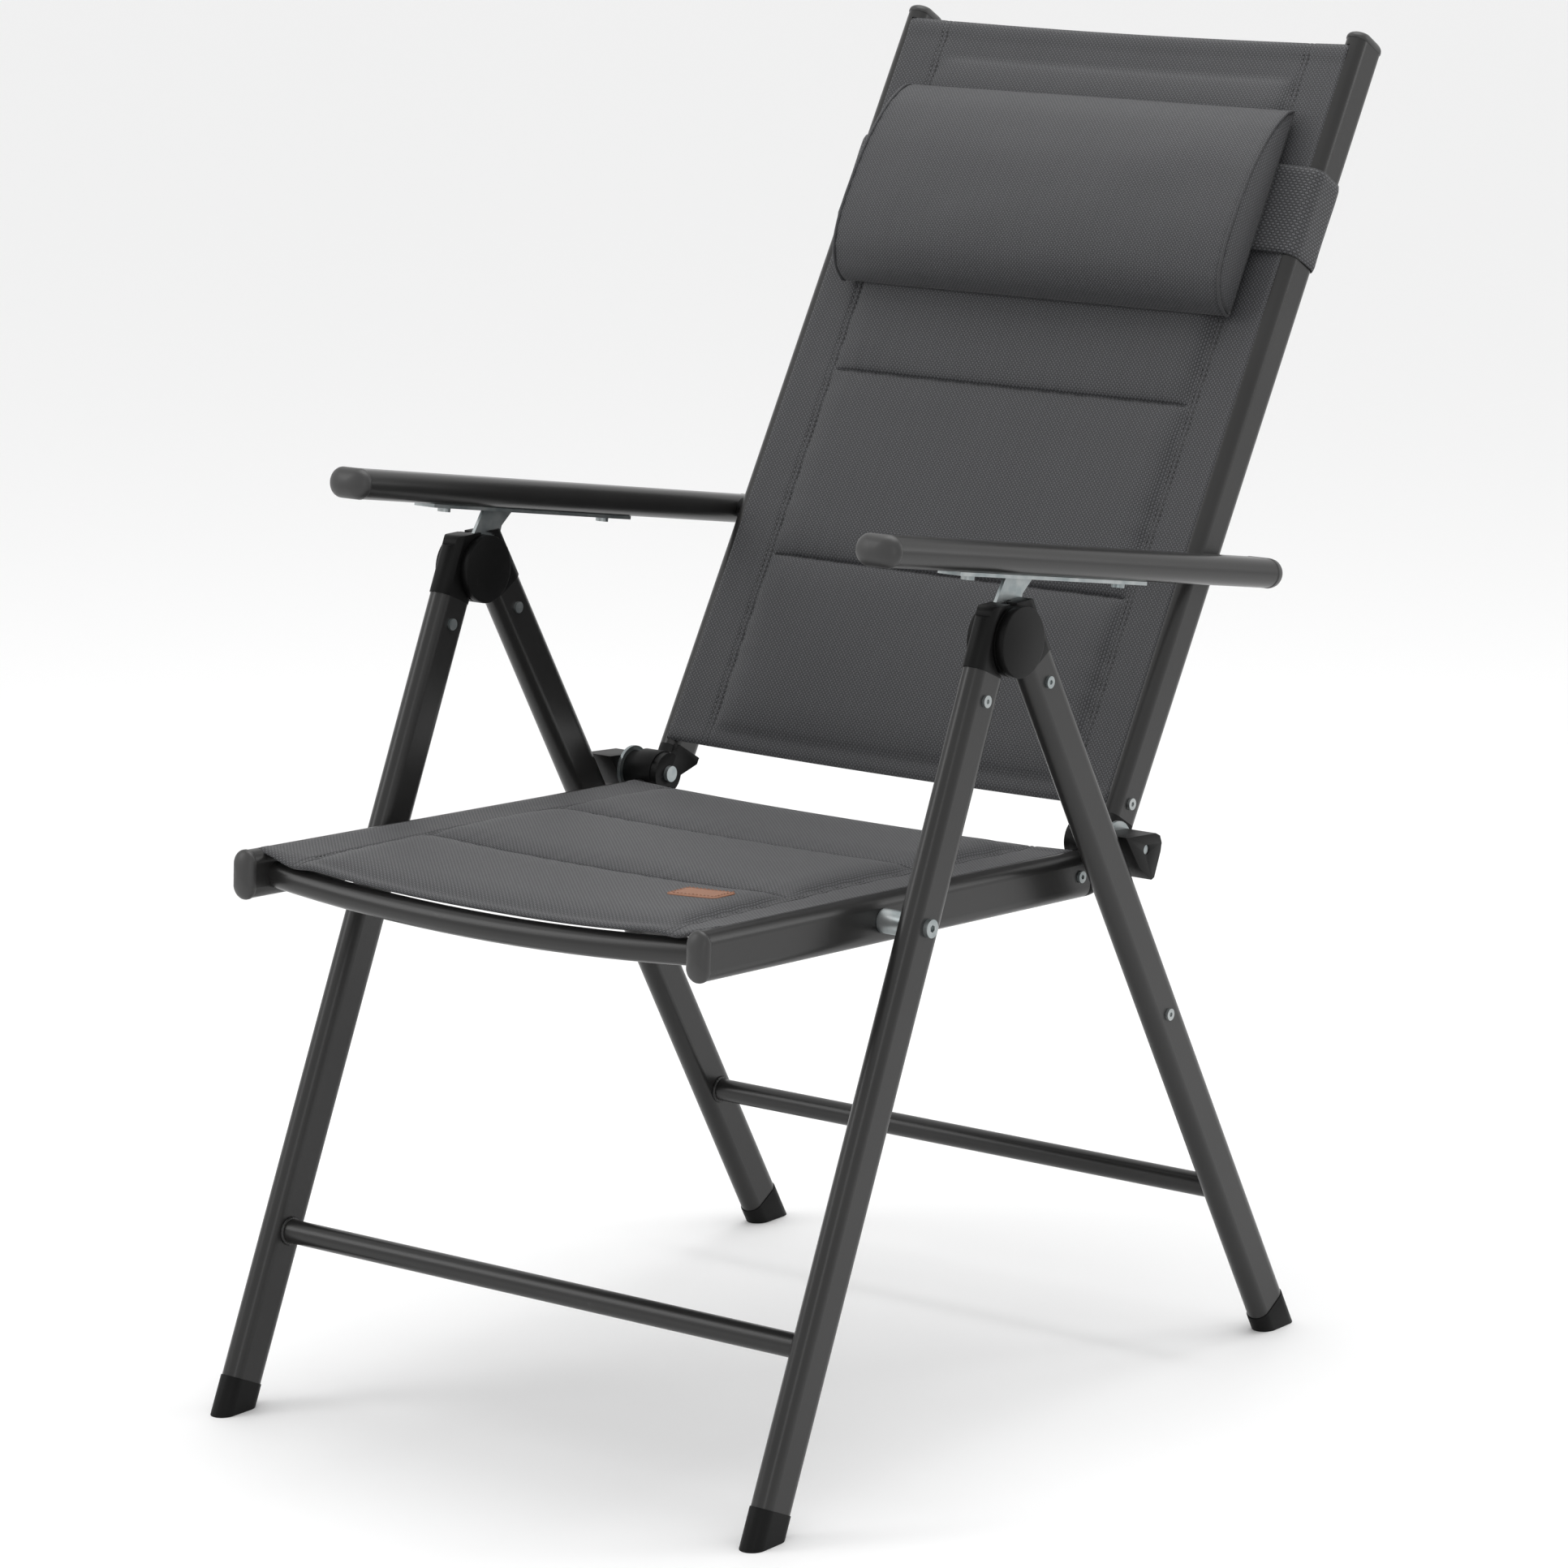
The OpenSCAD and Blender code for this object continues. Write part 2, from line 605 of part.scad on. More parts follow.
// Plug below the back tube, with an eye plate inboard of the seat tube
module back_plug() {
  stub_low = ear_r + 1.5;
  plate_behind = 12;
  color("#242424") difference() {
    union() {
      side(back_p, back_lean) {
        difference() {
          translate([seat_x, 0, 0]) bar(tube_t, tube_w, stub_low, back_start);
          translate([0, -back_offset, 0]) xcyl(0, leg_x, ear_r + ear_gap);
        }
        translate([seat_x, 0, 0])
          bar(tube_in_t - 2 * plug_gap, tube_in_w - 2 * plug_gap - welt_room, back_start,
            back_start + back_plug_len);
        difference() {
          xplate(eye_x, eye_x + eye_t) polygon([
            [-tube_w / 2, 0], [-10, 0], [plate_behind, back_start - 6],
            [plate_behind, back_start], [-tube_w / 2, back_start]]);
          translate([0, -back_offset, 0])
            xcyl(seat_x - tube_t / 2 - move_gap, seat_x, ear_r + ear_gap);
        }
      }
      side(hinge_p) xcyl(eye_x, seat_x - tube_t / 2 - move_gap, eye_r);
    }
    side(hinge_p) xcyl(0, 2 * leg_x, pivot_r + running);
    side(back_p, back_lean) translate([0, 0, back_bolt_a])
      xcyl(seat_x - tube_t, seat_x + tube_t, rivet_r);
  }
}
module back_tube_bolts() {
  color("silver") both() side(back_p, back_lean) translate([0, 0, back_bolt_a]) {
    xcyl(seat_x - tube_t / 2, boss_x, rivet_r);
    socket_head(boss_x, rivet_head_t, rivet_head_r);
  }
}
module back_sling() { color("#46464c") side(back_p, back_lean) sling(back_hem, back_top, -sling_top); }
module back_padding() {
  color("#4a4a50") side(back_p, back_lean) translate([-pad_x, -sling_top - pad_t, back_hem + pad_end])
    cube([2 * pad_x, pad_t, back_top - back_hem - 2 * pad_end]);
}
module back_welts() { side(back_p, back_lean) welts(back_hem + 34, back_top - 6, -welt_off); }
// D-shaped pillow, thickest near its lower front edge
module head_pillow() {
  back_face = sling_top + pad_t + move_gap;
  color("#48484e") side(back_p, back_lean) intersection() {
    xplate(-pillow_half, pillow_half) hull() {
      translate([-back_face, pillow_low + 12]) circle(r = 12, $fn = 32);
      translate([-back_face - pillow_out + 22, pillow_low + 50]) circle(r = 22, $fn = 32);
      translate([-back_face - pillow_out + 32, pillow_low + pillow_h - 54]) circle(r = 28, $fn = 32);
      translate([-back_face, pillow_low + pillow_h - 10]) circle(r = 10, $fn = 32);
    }
    translate([-2 * pillow_half, -back_face - 2 * pillow_out, 0])
      cube([4 * pillow_half, 2 * pillow_out, back_end]);
  }
}
module strap_rear_band() {
  color("#3c3c42") side(back_p, back_lean)
    translate([-seat_x, tube_w / 2 + strap_gap, strap_mid - strap_w / 2])
    cube([2 * seat_x, strap_t, strap_w]);
}
module strap_wraps() {
  front = -tube_w / 2 - strap_gap - strap_t;
  color("#3c3c42") both() side(back_p, back_lean) translate([0, 0, strap_mid - strap_w / 2]) {
    intersection() {
      translate([seat_x, 0, 0]) difference() {
        bar(tube_t + 2 * strap_gap + 2 * strap_t, tube_w + 2 * strap_gap + 2 * strap_t, 0, strap_w);
        bar(tube_t + 2 * strap_gap, tube_w + 2 * strap_gap, -1, strap_w + 1);
      }
      translate([seat_x, -tube_w, 0]) cube([tube_w, 2 * tube_w, strap_w]);
    }
    translate([pillow_half + 0.2, front, 0]) cube([seat_x - pillow_half - 0.2, strap_t, strap_w]);
  }
}

// ---- arms ----
module arm_bolts() {
  color("silver") both() side(arm_p) {
    xcyl(seat_x - tube_t / 2 - bolt_stub, arm_x + arm_bolt_end, pivot_r);
    xcyl(seat_x - tube_t / 2 - inner_head_t, seat_x - tube_t / 2 - move_gap, inner_head_r);
  }
}
module arm_washers() {
  color("#242424") both() side(arm_p) difference() {
    xcyl(boss_x + move_gap, boss_x + arm_washer - move_gap, arm_washer_r);
    xcyl(0, 2 * arm_x, pivot_r);
  }
}
module rack_slot() {
  translate([arm_x - tongue_t / 2 - slot_clear, -arm_h, rack_slot_mid - rack_slot_len / 2])
    cube([tongue_t + 2 * slot_clear, arm_h, rack_slot_len]);
}
module rack_screw_places() {
  for (at = [rack_from + screw_inset, rack_to - screw_inset])
    translate([arm_x, -arm_h / 2 - rack_t, at]) rotate([90, 0, 0]) children();
}
module arm_tube() {
  color("dimgray") side(arm_p, arm_phi) difference() {
    translate([arm_x, 0, 0]) tube(arm_w, arm_h, -arm_rear, arm_front);
    xcyl(arm_x - arm_w, arm_x, pivot_r + running);
    rack_slot();
    rack_screw_places() translate([0, 0, -screw_len - 1]) cylinder(r = screw_r, h = screw_len + 1);
  }
}
module arm_pivot_blocks() {
  color("#242424") both() side(arm_p, arm_phi) difference() {
    translate([arm_x, 0, 0])
      bar(arm_w - 2 * wall - 2 * plug_gap, arm_h - 2 * wall - 2 * plug_gap, block_inset - arm_rear,
        block_front);
    xcyl(0, arm_x + arm_bolt_end + plug_gap, pivot_r + running);
  }
}
module arm_caps() {
  front_dome = 10;
  rear_dome = 19;
  color("#3a3a3c") both() side(arm_p, arm_phi) translate([arm_x, 0, 0]) {
    translate([0, 0, arm_front]) {
      dome_cap(arm_w + 2 * cap_proud, arm_h + 2 * cap_proud, front_dome);
      bar(arm_w - 2 * wall - 2 * plug_gap, arm_h - 2 * wall - 2 * plug_gap, -arm_plug_len, 0);
    }
    translate([0, 0, -arm_rear]) rotate([180, 0, 0])
      dome_cap(arm_w + 2 * cap_proud, arm_h + 2 * cap_proud, rear_dome);
  }
}
// Steel strip under the arm, slotted and notched for the tongue
module arm_racks() {
  color("silver") both() side(arm_p, arm_phi) difference() {
    translate([arm_x - rack_w / 2, -arm_h / 2 - rack_t, rack_from])
      cube([rack_w, rack_t, rack_to - rack_from]);
    rack_slot();
    rack_screw_places() translate([0, 0, -screw_len - 1]) cylinder(r = screw_r, h = screw_len + 2);
    for (i = [0 : notch_count - 1]) translate([arm_x, 0, notch_first + i * notch_pitch])
      rotate([90, 0, 0]) cylinder(r = notch_r, h = arm_h);
  }
}
module arm_rack_screws() {
  color("silver") both() side(arm_p, arm_phi) rack_screw_places() {
    cylinder(r = screw_head_r, h = screw_head_t);
    translate([0, 0, -screw_len]) cylinder(r = screw_r, h = screw_len);
  }
}

module front_stretcher() { stretcher(front_p, front_lean, front_bar_height, front_lean); }
module rear_stretcher() { stretcher(rear_p, rear_phi, rear_bar_height, rear_lean); }
module left_front_leg() { front_leg(); }
module right_front_leg() { right() front_leg(); }
module left_rear_leg() { rear_leg(); }
module right_rear_leg() { right() rear_leg(); }
module left_front_foot() { foot(front_p, front_lean, front_len); }
module right_front_foot() { right() foot(front_p, front_lean, front_len); }
module left_rear_foot() { foot(rear_p, rear_phi, rear_len); }
module right_rear_foot() { right() foot(rear_p, rear_phi, rear_len); }
module left_front_head() { color("#242424") head(front_p, front_lean, -1); }
module right_front_head() { color("#242424") right() head(front_p, front_lean, -1); }
module left_rear_head() { color("#242424") head(rear_p, rear_phi, 1); }
module right_rear_head() { color("#242424") right() head(rear_p, rear_phi, 1); }
module inner_head_covers() { both() head_cover(-1); }
module outer_head_covers() { both() head_cover(1); }
module front_leg_rivets() { leg_rivets(front_p, front_lean); }
module rear_leg_rivets() { leg_rivets(rear_p, rear_phi); }
module left_seat_tube() { seat_tube(); }
module right_seat_tube() { right() seat_tube(); }
module left_seat_plug() { seat_plug(); }
module right_seat_plug() { right() seat_plug(); }
module left_hook() { hook(); }
module right_hook() { right() hook(); }
module seat_caps() { end_caps(seat_p, seat_phi, seat_front); }
module back_caps() { end_caps(back_p, back_lean, back_end); }
module left_back_tube() { back_tube(); }
module right_back_tube() { right() back_tube(); }
module left_back_plug() { back_plug(); }
module right_back_plug() { right() back_plug(); }
module left_arm_tube() { arm_tube(); }
module right_arm_tube() { right() arm_tube(); }

left_front_leg();
right_front_leg();
front_stretcher();
left_front_foot();
right_front_foot();
left_front_head();
right_front_head();
inner_head_covers();
head_pins();
head_tongues();
front_leg_rivets();
seat_pivot_bolts();
seat_spacers();
left_rear_leg();
right_rear_leg();
rear_stretcher();
left_rear_foot();
right_rear_foot();
left_rear_head();
right_rear_head();
outer_head_covers();
rear_leg_rivets();
rear_leg_bolts();
left_seat_tube();
right_seat_tube();
front_seat_bar();
left_seat_plug();
right_seat_plug();
left_hook();
right_hook();
hinge_washers();
seat_caps();
seat_tube_bolts();
seat_sling();
seat_padding();
seat_welts();
seat_patch();
hinge_bolts();
left_back_tube();
right_back_tube();
back_cross_bar();
left_back_plug();
right_back_plug();
back_caps();
back_tube_bolts();
back_sling();
back_padding();
back_welts();
head_pillow();
strap_rear_band();
strap_wraps();
arm_bolts();
arm_washers();
left_arm_tube();
right_arm_tube();
arm_caps();
arm_pivot_blocks();
arm_racks();
arm_rack_screws();
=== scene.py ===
"""Looks of the folding camp chair: coated tubes, moulded hinges, padded mesh and a head pillow."""
import json
from math import cos, pi, radians, sin

import bmesh
import bpy
import numpy as np
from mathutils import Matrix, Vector, noise


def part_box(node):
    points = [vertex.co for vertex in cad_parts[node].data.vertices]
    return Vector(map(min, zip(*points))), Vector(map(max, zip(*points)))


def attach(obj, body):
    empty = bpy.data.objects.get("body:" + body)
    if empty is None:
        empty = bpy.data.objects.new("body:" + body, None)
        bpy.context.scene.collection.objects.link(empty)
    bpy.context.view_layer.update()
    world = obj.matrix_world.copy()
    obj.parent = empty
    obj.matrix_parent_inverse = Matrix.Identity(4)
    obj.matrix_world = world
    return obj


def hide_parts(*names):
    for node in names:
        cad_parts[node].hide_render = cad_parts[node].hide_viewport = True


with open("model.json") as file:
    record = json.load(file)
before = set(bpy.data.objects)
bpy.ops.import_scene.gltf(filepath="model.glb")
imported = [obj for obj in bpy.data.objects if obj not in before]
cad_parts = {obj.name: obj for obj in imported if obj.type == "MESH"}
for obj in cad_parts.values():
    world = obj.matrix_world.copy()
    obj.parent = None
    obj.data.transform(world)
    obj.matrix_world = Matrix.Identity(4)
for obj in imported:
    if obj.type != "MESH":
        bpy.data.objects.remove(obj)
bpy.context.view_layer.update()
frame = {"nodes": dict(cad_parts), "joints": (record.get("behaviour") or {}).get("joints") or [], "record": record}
joints = {j["name"]: j for j in frame["joints"]}
nodes = frame["nodes"]

# ---------------------------------------------------------------- camera and studio
VIEW_TURN = radians(37.35)
VIEW_DROP = radians(11.4)
CAMERA_PLACE = Vector((2.991, -3.965, 1.544))
LENS_MM = 138.1
SENSOR_MM = 36
FRAMING_SHIFT = (-0.0055, -0.0379)
FAR_CLIP = 60
WORLD_STRENGTH = 0.92
FLOOR_SIZE = 30
LAMP_AIM = Vector((0, 0, 0.6))
# Lamp: place, width and height, watts
LAMPS = {
    "key_left": ((-2.4, -2.4, 2.4), (1.2, 2.0), 22),
    "front_right": ((2.6, -3.0, 1.6), (0.4, 1.8), 8),
    "top": ((0.0, 0.4, 3.0), (2.0, 2.0), 34),
    "rim": ((2.4, 2.4, 1.8), (0.7, 2.0), 12),
}


def add_camera():
    data = bpy.data.cameras.new("camera")
    data.lens = LENS_MM
    data.sensor_width = SENSOR_MM
    data.shift_x, data.shift_y = FRAMING_SHIFT
    data.clip_end = FAR_CLIP
    camera = bpy.data.objects.new("camera", data)
    level = cos(VIEW_DROP)
    look = Vector((-sin(VIEW_TURN) * level, cos(VIEW_TURN) * level, -sin(VIEW_DROP)))
    camera.location = CAMERA_PLACE
    camera.rotation_euler = look.to_track_quat("-Z", "Y").to_euler()
    bpy.context.scene.collection.objects.link(camera)
    bpy.context.scene.camera = camera


def add_lamp(name, place, size, power):
    data = bpy.data.lights.new(name, "AREA")
    data.shape = "RECTANGLE"
    data.size, data.size_y = size
    data.energy = power
    lamp = bpy.data.objects.new(name, data)
    lamp.location = place
    lamp.rotation_euler = (LAMP_AIM - Vector(place)).to_track_quat("-Z", "Y").to_euler()
    bpy.context.scene.collection.objects.link(lamp)


def add_studio():
    world = bpy.data.worlds.new("studio")
    world.use_nodes = True
    background = world.node_tree.nodes["Background"]
    background.inputs["Color"].default_value = (1, 1, 1, 1)
    background.inputs["Strength"].default_value = WORLD_STRENGTH
    bpy.context.scene.world = world
    bpy.context.scene.view_settings.view_transform = "Standard"
    for name, settings in LAMPS.items():
        add_lamp(name, *settings)
    bpy.ops.mesh.primitive_plane_add(size=FLOOR_SIZE)
    floor = bpy.context.object
    floor.name = "studio_floor"
    paint = bpy.data.materials.new("studio_floor")
    paint.use_nodes = True
    shader = paint.node_tree.nodes["Principled BSDF"]
    shader.inputs["Base Color"].default_value = (0.95, 0.95, 0.95, 1)
    shader.inputs["Roughness"].default_value = 0.7
    floor.data.materials.append(paint)


add_camera()
add_studio()

# ---------------------------------------------------------------- side view frames
BACK_LEAN = radians(30.7)
SEAT_LEAN = radians(3 - 90)
ARM_LEAN = radians(9.7 - 90)
# The back tubes' middle line stands this far behind the hinge
BACK_TUBE_BEHIND = 0.022
# Middles of the seat and back tubes, and of the arms
TUBE_X = 0.233
ARM_X = 0.271
# Half of the oval tube's long side, and the radius of its rounded sides
TUBE_HALF = 0.020
TUBE_ROUND = 0.010


class Side:
    """A straight piece's own frame in side view: a runs along it, o stands off it, x is across."""

    def __init__(self, origin, lean, off=0.0):
        self.along = np.array([0, sin(lean), cos(lean)])
        self.out = np.array([0, cos(lean), -sin(lean)])
        self.origin = np.array([0, origin[1], origin[2]]) + off * self.out

    def at(self, x, a, o):
        return np.array([x, 0, 0]) + self.origin + a * self.along + o * self.out

    def many(self, x, a, o):
        """The same for arrays of equal shape."""
        p = self.origin + np.multiply.outer(a, self.along) + np.multiply.outer(o, self.out)
        p[..., 0] += x
        return p


seat_side = Side(joints["fold"]["pos_m"], SEAT_LEAN)
back_side = Side(joints["recline"]["pos_m"], BACK_LEAN, BACK_TUBE_BEHIND)
arm_side = Side(joints["arm_pivot"]["pos_m"], ARM_LEAN)

# ---------------------------------------------------------------- mesh helpers


def new_piece(name, verts, faces, material, body):
    """A smooth shaded mesh that rides on a body."""
    mesh = bpy.data.meshes.new(name)
    mesh.from_pydata([tuple(v) for v in verts], [], [tuple(f) for f in faces])
    mesh.validate()
    piece = bpy.data.objects.new(name, mesh)
    bpy.context.scene.collection.objects.link(piece)
    tidy = bmesh.new()
    tidy.from_mesh(mesh)
    bmesh.ops.recalc_face_normals(tidy, faces=tidy.faces)
    for face in tidy.faces:
        face.smooth = True
    tidy.to_mesh(mesh)
    tidy.free()
    mesh.materials.append(material)
    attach(piece, body)
    return piece


def grid_faces(rows, cols, start=0, flip=False):
    faces = []
    for i in range(rows - 1):
        for j in range(cols - 1):
            corner = start + i * cols + j
            quad = (corner, corner + cols, corner + cols + 1, corner + 1)
            faces.append(quad[::-1] if flip else quad)
    return faces


def sheet_faces(rows, cols):
    """A thin closed sheet: the upper grid, the lower grid after it, and the rim between them."""
    count = rows * cols
    faces = grid_faces(rows, cols) + grid_faces(rows, cols, start=count, flip=True)
    rim = (list(range(cols)) + [i * cols + cols - 1 for i in range(1, rows)]
           + [(rows - 1) * cols + j for j in range(cols - 2, -1, -1)]
           + [i * cols for i in range(rows - 2, 0, -1)])
    faces += [(a, b, b + count, a + count) for a, b in zip(rim, rim[1:] + rim[:1])]
    return faces


def ring_faces(first, second, count):
    """Quads between two closed rings of count points, whose numbers start at first and second."""
    return [(first + k, first + (k + 1) % count, second + (k + 1) % count, second + k)
            for k in range(count)]


def smooth_step(t):
    t = np.clip(t, 0, 1)
    return t * t * (3 - 2 * t)


def apply_modifiers(piece):
    graph = bpy.context.evaluated_depsgraph_get()
    done = bpy.data.meshes.new_from_object(piece.evaluated_get(graph))
    old = piece.data
    piece.modifiers.clear()
    piece.data = done
    bpy.data.meshes.remove(old)


# ---------------------------------------------------------------- shader groups


class Graph:
    """Short way to place and join shader nodes in one tree."""

    def __init__(self, tree):
        self.tree = tree

    def node(self, kind, **settings):
        made = self.tree.nodes.new(kind)
        for key, value in settings.items():
            setattr(made, key, value)
        return made

    def join(self, source, target):
        self.tree.links.new(source, target)

    def feed(self, socket, value):
        if hasattr(value, "is_output"):
            self.join(value, socket)
        else:
            socket.default_value = value

    def math(self, operation, a, b=0.0):
        made = self.node("ShaderNodeMath", operation=operation)
        self.feed(made.inputs[0], a)
        self.feed(made.inputs[1], b)
        return made.outputs[0]

    def mix(self, factor, a, b):
        made = self.node("ShaderNodeMix", data_type="RGBA")
        self.feed(made.inputs[0], factor)
        self.feed(made.inputs[6], a)
        self.feed(made.inputs[7], b)
        return made.outputs[2]

    def noise(self, vector, scale, detail=2.0, roughness=0.5):
        made = self.node("ShaderNodeTexNoise")
        self.feed(made.inputs["Vector"], vector)
        made.inputs["Scale"].default_value = scale
        made.inputs["Detail"].default_value = detail
        made.inputs["Roughness"].default_value = roughness
        return made.outputs["Fac"]

    def ramp(self, value, low, high):
        made = self.node("ShaderNodeMapRange")
        self.feed(made.inputs["Value"], value)
        made.inputs["From Min"].default_value = low
        made.inputs["From Max"].default_value = high
        return made.outputs["Result"]


def new_group(name, inputs, outputs):
    tree = bpy.data.node_groups.new(name, "ShaderNodeTree")
    for label, kind in inputs:
        tree.interface.new_socket(label, in_out="INPUT", socket_type=kind)
    for label, kind in outputs:
        tree.interface.new_socket(label, in_out="OUTPUT", socket_type=kind)
    graph = Graph(tree)
    return tree, graph, graph.node("NodeGroupInput"), graph.node("NodeGroupOutput")


def make_weave_group():
    """Coated yarns over and under each other: height, painted shade in the low places between the yarns, and the
    yarns' own tone.
    """
    tree, g, given, out = new_group(
        "yarn_weave",
        [("Across", "NodeSocketFloat"), ("Along", "NodeSocketFloat"), ("Pitch", "NodeSocketFloat"),
         ("Rib", "NodeSocketFloat")],
        [("Height", "NodeSocketFloat"), ("Gap", "NodeSocketFloat"), ("Shade", "NodeSocketFloat")])
    across = g.math("DIVIDE", given.outputs["Across"], given.outputs["Pitch"])
    along = g.math("DIVIDE", given.outputs["Along"], given.outputs["Pitch"])
    cells = g.math("ADD", g.math("FLOOR", across), g.math("FLOOR", along))
    over = g.math("FRACT", g.math("MULTIPLY", cells, 0.5))
    over = g.math("GREATER_THAN", over, 0.25)
    under = g.math("SUBTRACT", 1.0, over)
    warp = g.math("SINE", g.math("MULTIPLY", g.math("FRACT", across), pi))
    weft = g.math("SINE", g.math("MULTIPLY", g.math("FRACT", along), pi))
    low = 0.45
    warp = g.math("MULTIPLY", warp, g.math("ADD", low, g.math("MULTIPLY", over, 1 - low)))
    weft = g.math("MULTIPLY", weft, g.math("ADD", low, g.math("MULTIPLY", under, 1 - low)))
    weft = g.math("MULTIPLY", weft, given.outputs["Rib"])
    height = g.math("MAXIMUM", warp, weft)
    g.join(height, out.inputs["Height"])
    # Painted shade: the lower a yarn dips between its neighbours, the more its colour is darkened
    g.join(g.ramp(height, 0.8, 0.25), out.inputs["Gap"])
    # Neighbouring warp yarns differ a little in shade
    spread = g.math("FRACT", g.math("MULTIPLY", g.math("FLOOR", across), 0.381))
    yarn = g.math("MULTIPLY", over, g.math("ADD", 0.7, g.math("MULTIPLY", spread, 0.3)))
    g.join(yarn, out.inputs["Shade"])
    return tree


def make_speckle_group():
    """Fine moulded or sprayed grain with slow patches and sparse scuffs."""
    tree, g, given, out = new_group(
        "surface_speckle",
        [("Vector", "NodeSocketVector"), ("Grain", "NodeSocketFloat")],
        [("Height", "NodeSocketFloat"), ("Patch", "NodeSocketFloat"), ("Scuff", "NodeSocketFloat")])
    fine = g.node("ShaderNodeTexNoise")
    g.join(given.outputs["Vector"], fine.inputs["Vector"])
    g.join(given.outputs["Grain"], fine.inputs["Scale"])
    fine.inputs["Detail"].default_value = 3
    g.join(fine.outputs["Fac"], out.inputs["Height"])
    g.join(g.noise(given.outputs["Vector"], 9.0, 4.0), out.inputs["Patch"])
    streak = g.node("ShaderNodeMapping")
    streak.inputs["Scale"].default_value = (40, 400, 40)
    streak.inputs["Rotation"].default_value = (0.6, 0.2, 0.9)
    g.join(given.outputs["Vector"], streak.inputs["Vector"])
    lines = g.noise(streak.outputs["Vector"], 1.0, 3.0, 0.6)
    worn = g.noise(given.outputs["Vector"], 14.0, 2.0)
    marks = g.math("MULTIPLY", g.ramp(lines, 0.66, 0.72), g.ramp(worn, 0.56, 0.68))
    g.join(marks, out.inputs["Scuff"])
    return tree


WEAVE = make_weave_group()
SPECKLE = make_speckle_group()


def new_material(name, roughness, **sockets):
    material = bpy.data.materials.new(name)
    material.use_nodes = True
    g = Graph(material.node_tree)
    shader = material.node_tree.nodes["Principled BSDF"]
    shader.inputs["Roughness"].default_value = roughness
    for label, value in sockets.items():
        shader.inputs[label.replace("_", " ")].default_value = value
    place = g.node("ShaderNodeTexCoord").outputs["Object"]
    return material, g, shader, place


def use_group(g, tree, **values):
    made = g.node("ShaderNodeGroup", node_tree=tree)
    for label, value in values.items():
        g.feed(made.inputs[label], value)
    return made.outputs


def add_bump(g, shader, height, distance, strength=1.0):
    bump = g.node("ShaderNodeBump")
    bump.inputs["Distance"].default_value = distance
    bump.inputs["Strength"].default_value = strength
    g.join(height, bump.inputs["Height"])
    g.join(bump.outputs["Normal"], shader.inputs["Normal"])


def grey(level, warm=0.0):
    return (level * (1 + warm), level, level * (1 - warm), 1)


def speckled(name, base, light, scuff, roughness, grain, relief, **sockets):
    """Paint or plastic: slow colour patches, fine grain in the relief, and light scuffs."""
    material, g, shader, place = new_material(name, roughness[0], **sockets)
    marks = use_group(g, SPECKLE, Vector=place, Grain=grain)
    color = g.mix(g.ramp(marks["Patch"], 0.35, 0.7), base, light)
    color = g.mix(g.math("MULTIPLY", marks["Scuff"], 0.35), color, scuff)
    g.join(color, shader.inputs["Base Color"])
    spread = g.node("ShaderNodeMapRange")
    g.join(marks["Patch"], spread.inputs["Value"])
    spread.inputs["To Min"].default_value, spread.inputs["To Max"].default_value = roughness
    g.join(spread.outputs["Result"], shader.inputs["Roughness"])
    add_bump(g, shader, marks["Height"], relief)
    return material


def frame_paint():
    return speckled("anthracite_powder_coat", base=grey(0.013, 0.02), light=grey(0.017, 0.02),
                    scuff=grey(0.05), roughness=(0.25, 0.34), grain=900.0, relief=0.00006,
                    Specular_IOR_Level=0.38)


def black_plastic():
    return speckled("black_moulding", base=grey(0.003), light=grey(0.005), scuff=grey(0.03),
                    roughness=(0.4, 0.54), grain=1400.0, relief=0.00008, Specular_IOR_Level=0.13)


def grey_plastic():
    return speckled("dark_grey_moulding", base=grey(0.024, 0.01), light=grey(0.03, 0.01),
                    scuff=grey(0.1), roughness=(0.34, 0.45), grain=1400.0, relief=0.00006,
                    Specular_IOR_Level=0.45)


ZINC_DULL = (0.26, 0.295, 0.3, 1)
ZINC_BRIGHT = (0.4, 0.42, 0.42, 1)


def zinc_steel():
    material, g, shader, place = new_material("zinc_plated_steel", 0.3, Metallic=0.9)
    stretch = g.node("ShaderNodeMapping")
    stretch.inputs["Scale"].default_value = (300, 30, 30)
    g.join(place, stretch.inputs["Vector"])
    brushed = g.noise(stretch.outputs["Vector"], 1.0, 4.0)
    cloud = g.noise(place, 60.0, 3.0)
    color = g.mix(g.ramp(cloud, 0.35, 0.65), ZINC_DULL, ZINC_BRIGHT)
    g.join(color, shader.inputs["Base Color"])
    g.join(g.math("ADD", 0.24, g.math("MULTIPLY", cloud, 0.25)), shader.inputs["Roughness"])
    add_bump(g, shader, brushed, 0.00005)
    return material


YARN_DARK = (0.0225, 0.023, 0.026, 1)
YARN_LIGHT = (0.083, 0.084, 0.09, 1)
# Painted shade colour for the low places between the yarns
YARN_GAP_SHADE = (0.004, 0.0042, 0.005, 1)
# Keeps the yarn counts above zero all over the chair
YARN_START = 10.0


